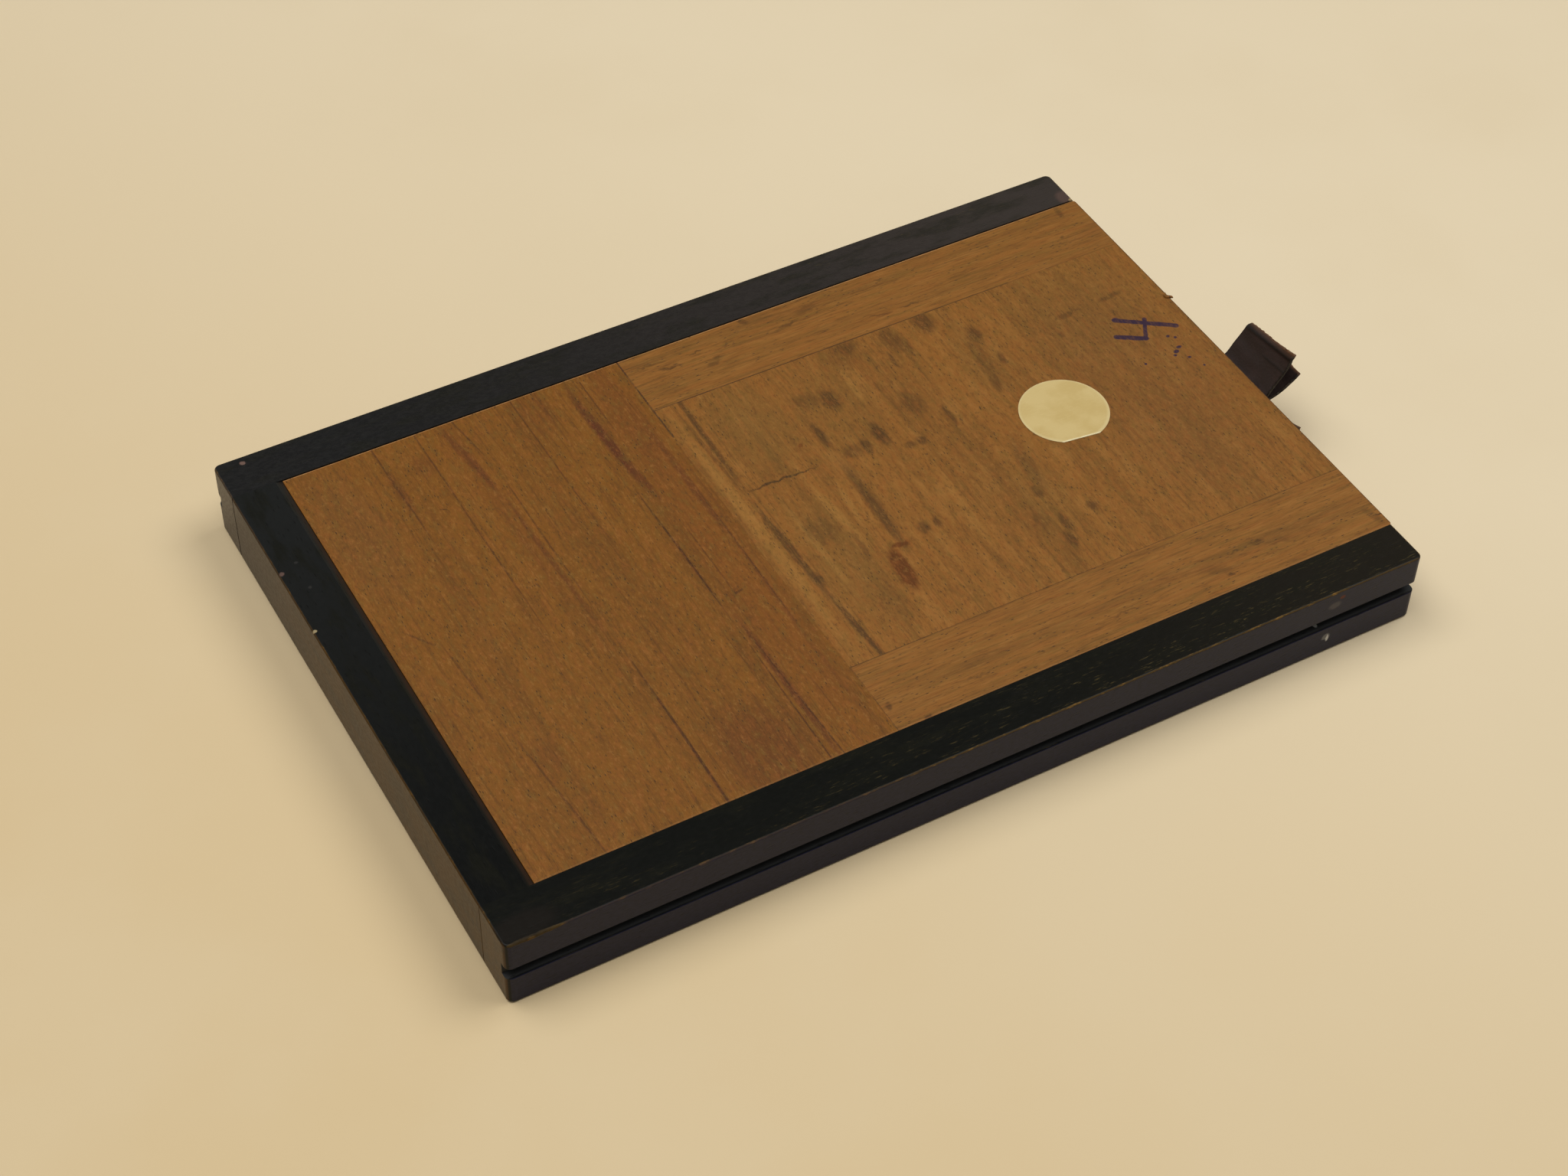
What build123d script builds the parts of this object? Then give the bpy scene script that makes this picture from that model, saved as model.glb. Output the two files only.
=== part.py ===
"""Double-sided wooden plate holder for 13 x 18 cm plates, with a full-face slide on each side.

It lies flat. X runs from the closed end to the open end that the slides pull out of, Y runs across it, and
Z is up from the surface that it lies on. The origin is in the middle of its footprint, tabs included.
The two faces are alike, so heights in the section are distances from the mid-plane, called levels.
All sizes are in millimetres.
"""

import os

from build123d import *

# Driving dimensions
holder_width = 160.5
holder_thickness = 19.5
rail_length = 234.8
rail_width = 12.1
end_rail_width = 12.6
plate_length = 180.0
plate_width = 130.0
plate_end_play = 2.0
plate_side_play = 1.1
slide_thickness = 4.0
slide_recess = 0.3
tongue_thickness = 2.0
tongue_reach = 3.0
septum_thickness = 0.8
guide_groove_height = 3.4
guide_groove_depth = 2.5
strap_width = 17.5
strap_thickness = 0.9
strap_free_length = 14.1
strap_middle_y = -8.3

# Room left between pieces
running_gap = 0.15
side_gap = 0.15
seat_gap = 0.05
glue_line = 0.02

# Places along the holder, worked out from the sizes above
slide_proud = 0.3
overall_length = rail_length + slide_proud + strap_free_length
closed_x = -overall_length / 2
open_x = closed_x + rail_length
slide_end_x = open_x + slide_proud
near_y = -holder_width / 2
rail_inner_y = holder_width / 2 - rail_width
lip_x = closed_x + end_rail_width
mid_z = holder_thickness / 2
mid_plane = Plane.XY.offset(mid_z)

# Levels above the mid-plane, the same on both faces
face_level = holder_thickness / 2
slide_top_level = face_level - slide_recess
slide_under_level = slide_top_level - slide_thickness
tongue_top_level = slide_under_level + tongue_thickness
channel_floor_level = slide_under_level - running_gap
channel_roof_level = tongue_top_level + running_gap
septum_level = septum_thickness / 2
plate_level = 3.7

# The well that holds a plate, inside the ledges of the rails
end_ledge_width = 2.4
well_low_x = lip_x + end_ledge_width
well_high_x = well_low_x + plate_length + plate_end_play
well_side_y = (plate_width + plate_side_play) / 2
well_middle_x = (well_low_x + well_high_x) / 2
septum_tuck = 3.0

# Rounding
corner_radius = 1.6
edge_radius = 0.5
bevel_width = 1.6
bevel_depth = 0.45
slide_corner_radius = 0.8

# Stub tenons of the end rail and the trap bar
tenon_length = 7.0
tenon_thickness = 6.0
end_tenon_width = 6.7
end_tenon_shoulder = 2.5
bar_tenon_width = 17.8
bar_tenon_shoulder = 6.0
end_tenon_low_x = closed_x + end_tenon_shoulder
end_tenon_high_x = end_tenon_low_x + end_tenon_width
bar_tenon_high_x = open_x - bar_tenon_shoulder
bar_tenon_low_x = bar_tenon_high_x - bar_tenon_width

# Parts of the slide
strip_start_x = closed_x + 100.7
near_strip_width = 21.3
far_strip_width = 20.1
joint_tongue_thickness = 1.4
joint_tongue_reach = 2.0
kerf_depth = 8.0
kerf_height = 2.0
kerf_rise = 1.9
kerf_level = slide_under_level + kerf_rise
label_radius = 11.15
label_thickness = 0.15
label_tear_angle = -97.5
label_tear_distance = 10.1
label_x = closed_x + 188.5
label_y = 1.05
tab_pin_width = 0.9
tab_pin_spacing = 9.0
tab_pin_cover = 0.6

# Metal parts in the well
sheet_metal = 0.8
lip_width = 40.0
lip_overhang = 2.4
lip_seat = 4.0
lip_corner_radius = 1.2
tack_spacing = 30.0
tack_shank_width = 1.1
tack_shank_taper = 5
tack_head_radius = 1.4
tack_head_height = 0.4
tack_length = 3.6
catch_tongue_width = 14.0
catch_body_width = 20.0
catch_overhang = 3.0
catch_body_length = 5.2
catch_mouth_length = 2.0
catch_room = 10.4
catch_corner_radius = 2.0
catch_hole_radius = 1.0
catch_hole_setback = 1.8
keeper_thickness = 0.6
keeper_setback = 0.6
keeper_width = 31.0
keeper_length = 5.0
keeper_corner_radius = 0.8
keeper_screw_spacing = 25.6
screw_radius = 0.7
screw_shank_flats = 8
countersink_angle = 45
screw_head_radius = 1.4
screw_length = 3.6
screw_slot_width = 0.4
screw_slot_depth = 0.25
leaf_thickness = 0.35
leaf_end_room = 1.0
pressure_spring_length = 110.0
pressure_spring_width = 12.0
pressure_spring_thickness = 0.4
pressure_spring_flat = 16.0
pressure_spring_rise = 2.6
pressure_spring_tip = 5.0
tip_start_slope = 0.12
rivet_radius = 1.0
rivet_head_radius = 2.2
rivet_head_height = 0.6
rivet_head_chamfer = 0.4
rivet_spacing = 8.0

# Light trap in the trap bar
trap_middle_x = open_x - 14.8
trap_channel_width = 8.0
trap_channel_depth = 2.2
trap_channel_length = 132.0
velvet_thickness = 1.05
wave_thickness = 0.3
wave_width = 6.0
wave_end_room = 2.0
wave_count = 6

FACES = (1, -1)

os.makedirs("parts", exist_ok=True)


def rectangle_between(x_low, x_high, y_low, y_high, mode=Mode.ADD):
    """A rectangle in the open sketch, given by its sides."""
    with Locations(((x_low + x_high) / 2, (y_low + y_high) / 2)):
        Rectangle(abs(x_high - x_low), abs(y_high - y_low), mode=mode)


def level_plane(level):
    """The plane at this level above the mid-plane."""
    return Plane.XY.offset(mid_z + level)


def side_plane(y):
    """The upright plane along the holder at this y. Its own y axis is the holder's z."""
    return Plane.XZ.offset(-y)


def ribbon_outline(centre, thickness):
    """The corners of a thin strip seen edge on, worked out from its centre line."""
    above, below = [], []
    for index, (x, z) in enumerate(centre):
        before = centre[max(index - 1, 0)]
        after = centre[min(index + 1, len(centre) - 1)]
        along = Vector(after[0] - before[0], after[1] - before[1]).normalized()
        above.append((x - along.Y * thickness / 2, z + along.X * thickness / 2))
        below.append((x + along.Y * thickness / 2, z - along.X * thickness / 2))
    return above + below[::-1]


def for_lower_face(piece):
    """The same piece turned over for the lower face."""
    with BuildPart() as twin:
        mirror(piece.part, about=mid_plane)
    return twin


def write(piece, name):
    """Labels a finished piece and writes it under its name."""
    piece.part.label = name
    export_step(piece.part, f"parts/{name}.step")


def at_level(part_edges, level):
    """The edges that lie wholly at this level, on either face."""
    return [
        edge
        for edge in part_edges
        if all(abs(abs(vertex.Z - mid_z) - level) < 0.01 for vertex in edge.vertices())
    ]


# Side rails, with the guide groove outside and the slide channels, well ledge and septum groove inside
with BuildPart() as side_rail_near:
    with BuildSketch(Plane.YZ.offset(closed_x)):
        rectangle_between(near_y, -rail_inner_y, 0, holder_thickness)
        rectangle_between(
            near_y,
            near_y + guide_groove_depth,
            mid_z - guide_groove_height / 2,
            mid_z + guide_groove_height / 2,
            Mode.SUBTRACT,
        )
    extrude(amount=rail_length)
    with BuildSketch(Plane.YZ.offset(well_low_x)):
        rectangle_between(
            -rail_inner_y,
            -well_side_y,
            mid_z - channel_floor_level,
            mid_z + channel_floor_level,
        )
    extrude(amount=well_high_x - well_low_x)
    outer_corners = side_rail_near.edges().filter_by(Axis.Z).filter_by_position(
        Axis.Y, near_y - seat_gap, near_y + seat_gap
    )
    fillet(outer_corners, radius=corner_radius)
    outline = [
        edge
        for edge in at_level(side_rail_near.edges(), face_level)
        if edge.center().Y < -rail_inner_y - seat_gap
    ]
    fillet(outline, radius=edge_radius)
    with BuildSketch(Plane.YZ.offset(lip_x - tongue_reach - seat_gap)):
        for face in FACES:
            rectangle_between(
                -rail_inner_y - tongue_reach - seat_gap,
                -rail_inner_y,
                mid_z + face * channel_floor_level,
                mid_z + face * channel_roof_level,
            )
    extrude(amount=rail_length, mode=Mode.SUBTRACT)
    with BuildSketch(Plane.YZ.offset(well_low_x - septum_tuck)):
        rectangle_between(
            -well_side_y - septum_tuck,
            -well_side_y,
            mid_z - septum_level - seat_gap,
            mid_z + septum_level + seat_gap,
        )
    extrude(amount=well_high_x - well_low_x + 2 * septum_tuck, mode=Mode.SUBTRACT)
    with BuildSketch(level_plane(-tenon_thickness / 2)):
        for low_x, high_x in (
            (end_tenon_low_x, end_tenon_high_x),
            (bar_tenon_low_x, bar_tenon_high_x),
        ):
            rectangle_between(
                low_x - seat_gap,
                high_x + seat_gap,
                -rail_inner_y - tenon_length - seat_gap,
                -rail_inner_y,
            )
    extrude(amount=tenon_thickness, mode=Mode.SUBTRACT)
write(side_rail_near, "side_rail_near")

with BuildPart() as side_rail_far:
    mirror(side_rail_near.part, about=Plane.XZ)
write(side_rail_far, "side_rail_far")

# End rail, with a bevel on the lip over each slide's leading edge and a seat for each plate lip
tack_hole_width = tack_shank_width + 2 * seat_gap
with BuildPart() as end_rail:
    with BuildSketch(side_plane(rail_inner_y)):
        rectangle_between(closed_x, lip_x, 0, holder_thickness)
        rectangle_between(lip_x, well_low_x, mid_z - channel_floor_level, mid_z + channel_floor_level)
        for face in FACES:
            rectangle_between(
                lip_x - tongue_reach - seat_gap,
                lip_x,
                mid_z + face * channel_floor_level,
                mid_z + face * channel_roof_level,
                Mode.SUBTRACT,
            )
            with BuildLine():
                Polyline(
                    (lip_x - bevel_width, mid_z + face * face_level),
                    (lip_x + seat_gap, mid_z + face * face_level),
                    (lip_x + seat_gap, mid_z + face * (face_level - bevel_depth)),
                    (lip_x, mid_z + face * (face_level - bevel_depth)),
                    close=True,
                )
            make_face(mode=Mode.SUBTRACT)
        rectangle_between(
            well_low_x - septum_tuck,
            well_low_x,
            mid_z - septum_level - seat_gap,
            mid_z + septum_level + seat_gap,
            Mode.SUBTRACT,
        )
    extrude(amount=2 * rail_inner_y)
    outer_edges = [
        edge
        for edge in at_level(end_rail.edges(), face_level)
        if edge.center().X < closed_x + seat_gap
    ]
    fillet(outer_edges, radius=edge_radius)
    with BuildSketch(level_plane(-tenon_thickness / 2)):
        rectangle_between(
            end_tenon_low_x,
            end_tenon_high_x,
            -rail_inner_y - tenon_length,
            rail_inner_y + tenon_length,
        )
    extrude(amount=tenon_thickness)
    for face in FACES:
        with BuildSketch(level_plane(face * plate_level)):
            rectangle_between(
                well_low_x - lip_seat - seat_gap,
                well_low_x,
                -lip_width / 2 - seat_gap,
                lip_width / 2 + seat_gap,
            )
        extrude(amount=face * (channel_floor_level - plate_level), mode=Mode.SUBTRACT)
    for face in FACES:
        with BuildSketch(level_plane(face * plate_level)):
            with Locations((well_low_x - lip_seat / 2, 0)):
                with GridLocations(0, tack_spacing, 1, 2):
                    Rectangle(tack_hole_width, tack_hole_width)
        extrude(amount=-face * (tack_length - sheet_metal), mode=Mode.SUBTRACT)
write(end_rail, "end_rail")

# Trap bar, with a light-trap channel and the pockets of a plate catch in each face
catch_back_x = well_high_x + catch_mouth_length + catch_room
catch_floor_level = plate_level - seat_gap
keeper_floor_level = plate_level + sheet_metal + seat_gap
keeper_low_x = well_high_x + keeper_setback
with BuildPart() as trap_bar:
    with BuildSketch(level_plane(-channel_floor_level)):
        rectangle_between(well_high_x, open_x, -rail_inner_y, rail_inner_y)
    extrude(amount=2 * channel_floor_level)
    with BuildSketch(level_plane(-tenon_thickness / 2)):
        rectangle_between(
            bar_tenon_low_x,
            bar_tenon_high_x,
            -rail_inner_y - tenon_length,
            rail_inner_y + tenon_length,
        )
    extrude(amount=tenon_thickness)
    with BuildSketch(Plane.YZ.offset(well_high_x)):
        rectangle_between(
            -rail_inner_y,
            rail_inner_y,
            mid_z - septum_level - seat_gap,
            mid_z + septum_level + seat_gap,
        )
    extrude(amount=septum_tuck, mode=Mode.SUBTRACT)
    for face in FACES:
        with BuildSketch(level_plane(face * catch_floor_level)):
            rectangle_between(
                well_high_x,
                catch_back_x,
                -catch_tongue_width / 2 - seat_gap,
                catch_tongue_width / 2 + seat_gap,
            )
            rectangle_between(
                well_high_x + catch_mouth_length,
                catch_back_x,
                -catch_body_width / 2 - seat_gap,
                catch_body_width / 2 + seat_gap,
            )
        extrude(amount=face * (channel_floor_level - catch_floor_level), mode=Mode.SUBTRACT)
        with BuildSketch(level_plane(face * keeper_floor_level)):
            rectangle_between(
                keeper_low_x - seat_gap,
                keeper_low_x + keeper_length + seat_gap,
                -keeper_width / 2 - seat_gap,
                keeper_width / 2 + seat_gap,
            )
        extrude(amount=face * (channel_floor_level - keeper_floor_level), mode=Mode.SUBTRACT)
        with BuildSketch(level_plane(face * keeper_floor_level)):
            with Locations((keeper_low_x + keeper_length / 2, 0)):
                with GridLocations(0, keeper_screw_spacing, 1, 2):
                    RegularPolygon(screw_radius + seat_gap, screw_shank_flats)
        extrude(amount=-face * screw_length, mode=Mode.SUBTRACT)
        with BuildSketch(level_plane(face * channel_floor_level)):
            with Locations((trap_middle_x, 0)):
                Rectangle(trap_channel_width, trap_channel_length)
        extrude(amount=-face * trap_channel_depth, mode=Mode.SUBTRACT)
write(trap_bar, "trap_bar")

# Septum, held in the grooves of the rails and the trap bar
with BuildPart() as septum:
    with BuildSketch(level_plane(-septum_level)):
        rectangle_between(
            well_low_x - septum_tuck + seat_gap,
            well_high_x + septum_tuck - seat_gap,
            -well_side_y,
            well_side_y,
        )
        rectangle_between(
            well_low_x + seat_gap,
            well_high_x - seat_gap,
            -well_side_y - septum_tuck + seat_gap,
            well_side_y + septum_tuck - seat_gap,
        )
        with Locations((well_middle_x, 0)):
            with GridLocations(rivet_spacing, 0, 2, 1):
                Circle(rivet_radius + seat_gap, mode=Mode.SUBTRACT)
    extrude(amount=septum_thickness)
write(septum, "septum")

# Bowed leaf that presses a plate outwards against its lip and catch
spring_base = mid_z + septum_level + pressure_spring_thickness / 2
spring_shoulder = spring_base + pressure_spring_rise
arm_start = pressure_spring_flat / 2
arm_end = pressure_spring_length / 2 - pressure_spring_tip
tip_end = pressure_spring_length / 2
with BuildPart() as pressure_spring_upper:
    with BuildSketch(side_plane(pressure_spring_width / 2)):
        with BuildLine():
            Line((well_middle_x - arm_start, spring_base), (well_middle_x + arm_start, spring_base))
            for side in FACES:
                arm = TangentArc(
                    (well_middle_x + side * arm_start, spring_base),
                    (well_middle_x + side * arm_end, spring_shoulder),
                    tangent=(side, 0),
                )
                TangentArc(
                    arm @ 1,
                    (well_middle_x + side * tip_end, spring_shoulder - leaf_thickness),
                    tangent=(side, tip_start_slope),
                )
        trace(line_width=pressure_spring_thickness)
    extrude(amount=pressure_spring_width)
    with BuildSketch(level_plane(0)):
        with Locations((well_middle_x, 0)):
            with GridLocations(rivet_spacing, 0, 2, 1):
                Circle(rivet_radius + seat_gap)
    extrude(amount=face_level, mode=Mode.SUBTRACT)
write(pressure_spring_upper, "pressure_spring_upper")
pressure_spring_lower = for_lower_face(pressure_spring_upper)
write(pressure_spring_lower, "pressure_spring_lower")

# Rivets through the septum and both springs
rivet_seat_level = septum_level + pressure_spring_thickness
with BuildPart() as spring_rivets:
    with BuildSketch(level_plane(-rivet_seat_level)):
        with Locations((well_middle_x, 0)):
            with GridLocations(rivet_spacing, 0, 2, 1):
                Circle(rivet_radius)
    extrude(amount=2 * rivet_seat_level)
    for face in FACES:
        with BuildSketch(level_plane(face * rivet_seat_level)):
            with Locations((well_middle_x, 0)):
                with GridLocations(rivet_spacing, 0, 2, 1):
                    Circle(rivet_head_radius)
        extrude(amount=face * rivet_head_height)
    rims = at_level(spring_rivets.edges(), rivet_seat_level + rivet_head_height)
    chamfer(rims, length=rivet_head_chamfer)
write(spring_rivets, "spring_rivets")

# Fixed plate lips at the closed end, and their cut tacks with square shanks
with BuildPart() as plate_lip_upper:
    with BuildSketch(level_plane(plate_level)):
        rectangle_between(
            well_low_x - lip_seat,
            well_low_x + lip_overhang,
            -lip_width / 2,
            lip_width / 2,
        )
        with Locations((well_low_x - lip_seat / 2, 0)):
            with GridLocations(0, tack_spacing, 1, 2):
                Rectangle(tack_hole_width, tack_hole_width, mode=Mode.SUBTRACT)
    extrude(amount=sheet_metal)
    free_corners = plate_lip_upper.edges().filter_by(Axis.Z).filter_by_position(
        Axis.X, well_low_x + lip_overhang - seat_gap, well_low_x + lip_overhang + seat_gap
    )
    fillet(free_corners, radius=lip_corner_radius)
write(plate_lip_upper, "plate_lip_upper")
plate_lip_lower = for_lower_face(plate_lip_upper)
write(plate_lip_lower, "plate_lip_lower")

with BuildPart() as lip_tacks:
    for face in FACES:
        with BuildSketch(level_plane(face * (plate_level + sheet_metal))):
            with Locations((well_low_x - lip_seat / 2, 0)):
                with GridLocations(0, tack_spacing, 1, 2):
                    Circle(tack_head_radius)
        extrude(amount=face * tack_head_height)
        with BuildSketch(level_plane(face * (plate_level + sheet_metal))):
            with Locations((well_low_x - lip_seat / 2, 0)):
                with GridLocations(0, tack_spacing, 1, 2):
                    Rectangle(tack_shank_width, tack_shank_width)
        extrude(amount=-face * (tack_length - seat_gap), taper=tack_shank_taper)
write(lip_tacks, "lip_tacks")

# Sprung plate catches: a tongue over the plate's edge, and shoulders that stop it in its pocket
catch_shoulder_x = well_high_x + catch_mouth_length + seat_gap
catch_tail_x = catch_shoulder_x + catch_body_length
catch_tip_x = well_high_x - catch_overhang
with BuildPart() as plate_catch_upper:
    with BuildSketch(level_plane(plate_level)):
        rectangle_between(catch_tip_x, catch_tail_x, -catch_tongue_width / 2, catch_tongue_width / 2)
        rectangle_between(catch_shoulder_x, catch_tail_x, -catch_body_width / 2, catch_body_width / 2)
        with Locations((catch_tip_x + catch_hole_setback, 0)):
            Circle(catch_hole_radius, mode=Mode.SUBTRACT)
    extrude(amount=sheet_metal)
    tip_corners = plate_catch_upper.edges().filter_by(Axis.Z).filter_by_position(
        Axis.X, catch_tip_x - seat_gap, catch_tip_x + seat_gap
    )
    fillet(tip_corners, radius=catch_corner_radius)
write(plate_catch_upper, "plate_catch_upper")
plate_catch_lower = for_lower_face(plate_catch_upper)
write(plate_catch_lower, "plate_catch_lower")

# Keeper plates over the catches, with countersunk screws whose buried shanks are plain
with BuildPart() as catch_keeper_upper:
    with BuildSketch(level_plane(keeper_floor_level)):
        with Locations((keeper_low_x + keeper_length / 2, 0)):
            RectangleRounded(keeper_length, keeper_width, keeper_corner_radius)
    extrude(amount=keeper_thickness)
    with BuildSketch(level_plane(keeper_floor_level + keeper_thickness)):
        with Locations((keeper_low_x + keeper_length / 2, 0)):
            with GridLocations(0, keeper_screw_spacing, 1, 2):
                Circle(screw_head_radius + seat_gap)
    extrude(amount=-keeper_thickness, taper=countersink_angle, mode=Mode.SUBTRACT)
write(catch_keeper_upper, "catch_keeper_upper")
catch_keeper_lower = for_lower_face(catch_keeper_upper)
write(catch_keeper_lower, "catch_keeper_lower")

with BuildPart() as keeper_screws:
    for face in FACES:
        with BuildSketch(level_plane(face * (keeper_floor_level + keeper_thickness))):
            with Locations((keeper_low_x + keeper_length / 2, 0)):
                with GridLocations(0, keeper_screw_spacing, 1, 2):
                    Circle(screw_head_radius)
        extrude(amount=-face * keeper_thickness, taper=countersink_angle)
        with BuildSketch(level_plane(face * keeper_floor_level)):
            with Locations((keeper_low_x + keeper_length / 2, 0)):
                with GridLocations(0, keeper_screw_spacing, 1, 2):
                    RegularPolygon(screw_radius, screw_shank_flats)
        extrude(amount=-face * (screw_length - seat_gap))
        with BuildSketch(level_plane(face * (keeper_floor_level + keeper_thickness))):
            with Locations((keeper_low_x + keeper_length / 2, 0)):
                with GridLocations(0, keeper_screw_spacing, 1, 2):
                    Rectangle(screw_slot_width, 4 * screw_head_radius)
        extrude(amount=-face * screw_slot_depth, mode=Mode.SUBTRACT)
write(keeper_screws, "keeper_screws")

# Bowed leaf behind each catch, resting on the back of the pocket
leaf_end_x = catch_back_x - leaf_thickness
with BuildPart() as catch_spring_upper:
    with BuildSketch(level_plane(plate_level)):
        with BuildLine():
            ThreePointArc(
                (leaf_end_x, -catch_body_width / 2 + leaf_end_room),
                (catch_tail_x + leaf_thickness, 0),
                (leaf_end_x, catch_body_width / 2 - leaf_end_room),
            )
        trace(line_width=leaf_thickness)
    extrude(amount=sheet_metal)
write(catch_spring_upper, "catch_spring_upper")
catch_spring_lower = for_lower_face(catch_spring_upper)
write(catch_spring_lower, "catch_spring_lower")

# Light-trap velvet, and the wave spring that lifts it against the slide
velvet_under_level = channel_floor_level + seat_gap - velvet_thickness
wave_low_level = channel_floor_level - trap_channel_depth
wave_middle_level = (velvet_under_level + wave_low_level) / 2
wave_rise = (velvet_under_level - wave_low_level - wave_thickness) / 2 - glue_line
wave_pitch = (trap_channel_length - 2 * wave_end_room) / wave_count
with BuildPart() as velvet_strip_upper:
    with BuildSketch(level_plane(velvet_under_level)):
        with Locations((trap_middle_x, 0)):
            Rectangle(trap_channel_width - 2 * seat_gap, trap_channel_length - 2 * seat_gap)
    extrude(amount=velvet_thickness)
write(velvet_strip_upper, "velvet_strip_upper")
velvet_strip_lower = for_lower_face(velvet_strip_upper)
write(velvet_strip_lower, "velvet_strip_lower")

with BuildPart() as trap_spring_upper:
    with BuildSketch(Plane.YZ.offset(trap_middle_x - wave_width / 2)):
        with BuildLine():
            for index in range(wave_count):
                start = -wave_count * wave_pitch / 2 + index * wave_pitch
                bow = wave_rise if index % 2 else -wave_rise
                ThreePointArc(
                    (start, mid_z + wave_middle_level),
                    (start + wave_pitch / 2, mid_z + wave_middle_level + bow),
                    (start + wave_pitch, mid_z + wave_middle_level),
                )
        trace(line_width=wave_thickness)
    extrude(amount=wave_width)
write(trap_spring_upper, "trap_spring_upper")
trap_spring_lower = for_lower_face(trap_spring_upper)
write(trap_spring_lower, "trap_spring_lower")

# Slides: a cross-grained board with a tongue all round, and two long-grained strips let into its sides
board_low_x = lip_x + side_gap
board_side_y = rail_inner_y - side_gap
tongue_low_x = lip_x - tongue_reach + side_gap
tongue_side_y = rail_inner_y + tongue_reach - side_gap
near_joint_y = near_strip_width - rail_inner_y
far_joint_y = rail_inner_y - far_strip_width
joint_level = slide_under_level + slide_thickness / 2
kerf_low_y = strap_middle_y - strap_width / 2 - seat_gap
kerf_high_y = strap_middle_y + strap_width / 2 + seat_gap
tab_pin_hole_width = tab_pin_width + 2 * seat_gap
with BuildPart() as slide_board_upper:
    with BuildSketch(level_plane(slide_under_level)):
        rectangle_between(tongue_low_x, strip_start_x, -tongue_side_y, tongue_side_y)
        rectangle_between(strip_start_x, slide_end_x, near_joint_y, far_joint_y)
    extrude(amount=tongue_thickness)
    with BuildSketch(level_plane(tongue_top_level)):
        rectangle_between(board_low_x, strip_start_x, -board_side_y, board_side_y)
        rectangle_between(strip_start_x, slide_end_x, near_joint_y, far_joint_y)
    extrude(amount=slide_thickness - tongue_thickness)
    with BuildSketch(level_plane(joint_level - joint_tongue_thickness / 2)):
        rectangle_between(
            strip_start_x,
            slide_end_x,
            near_joint_y - joint_tongue_reach,
            far_joint_y + joint_tongue_reach,
        )
    extrude(amount=joint_tongue_thickness)
    with BuildSketch(level_plane(kerf_level - kerf_height / 2)):
        rectangle_between(slide_end_x - kerf_depth, slide_end_x, kerf_low_y, kerf_high_y)
    extrude(amount=kerf_height, mode=Mode.SUBTRACT)
    with BuildSketch(level_plane(slide_under_level)):
        with Locations((slide_end_x - kerf_depth / 2, strap_middle_y)):
            with GridLocations(0, tab_pin_spacing, 1, 2):
                Rectangle(tab_pin_hole_width, tab_pin_hole_width)
    extrude(amount=slide_thickness - tab_pin_cover, mode=Mode.SUBTRACT)
write(slide_board_upper, "slide_board_upper")
slide_board_lower = for_lower_face(slide_board_upper)
write(slide_board_lower, "slide_board_lower")


def slide_strip(side, joint_y):
    """The strip on the near side (-1) or far side (1) of the upper slide, grooved for the board's tongue."""
    joint_y += side * glue_line
    with BuildPart() as strip:
        with BuildSketch(Plane.YZ.offset(strip_start_x + glue_line)):
            rectangle_between(
                joint_y,
                side * tongue_side_y,
                mid_z + slide_under_level,
                mid_z + tongue_top_level,
            )
            rectangle_between(
                joint_y,
                side * board_side_y,
                mid_z + slide_under_level,
                mid_z + slide_top_level,
            )
            rectangle_between(
                joint_y,
                joint_y + side * (joint_tongue_reach + seat_gap),
                mid_z + joint_level - joint_tongue_thickness / 2 - glue_line,
                mid_z + joint_level + joint_tongue_thickness / 2 + glue_line,
                Mode.SUBTRACT,
            )
        extrude(amount=slide_end_x - strip_start_x - glue_line)
        outer_y = side * board_side_y
        outer_corner = (
            strip.edges()
            .filter_by(Axis.Z)
            .filter_by_position(Axis.X, slide_end_x - seat_gap, slide_end_x + seat_gap)
            .filter_by_position(Axis.Y, outer_y - seat_gap, outer_y + seat_gap)
        )
        fillet(outer_corner, radius=slide_corner_radius)
    return strip


for side_name, side, joint_y in (("near", -1, near_joint_y), ("far", 1, far_joint_y)):
    upper_strip = slide_strip(side, joint_y)
    write(upper_strip, f"slide_strip_{side_name}_upper")
    write(for_lower_face(upper_strip), f"slide_strip_{side_name}_lower")

# Round paper label on the upper slide, torn off straight along its near edge
with BuildPart() as label_disc:
    with BuildSketch(level_plane(slide_top_level)):
        with Locations((label_x, label_y)):
            Circle(label_radius)
        with Locations(Location((label_x, label_y), label_tear_angle)):
            with Locations((label_tear_distance + label_radius, 0)):
                Rectangle(2 * label_radius, 2 * label_radius, mode=Mode.SUBTRACT)
    extrude(amount=label_thickness)
write(label_disc, "label_disc")


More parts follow.
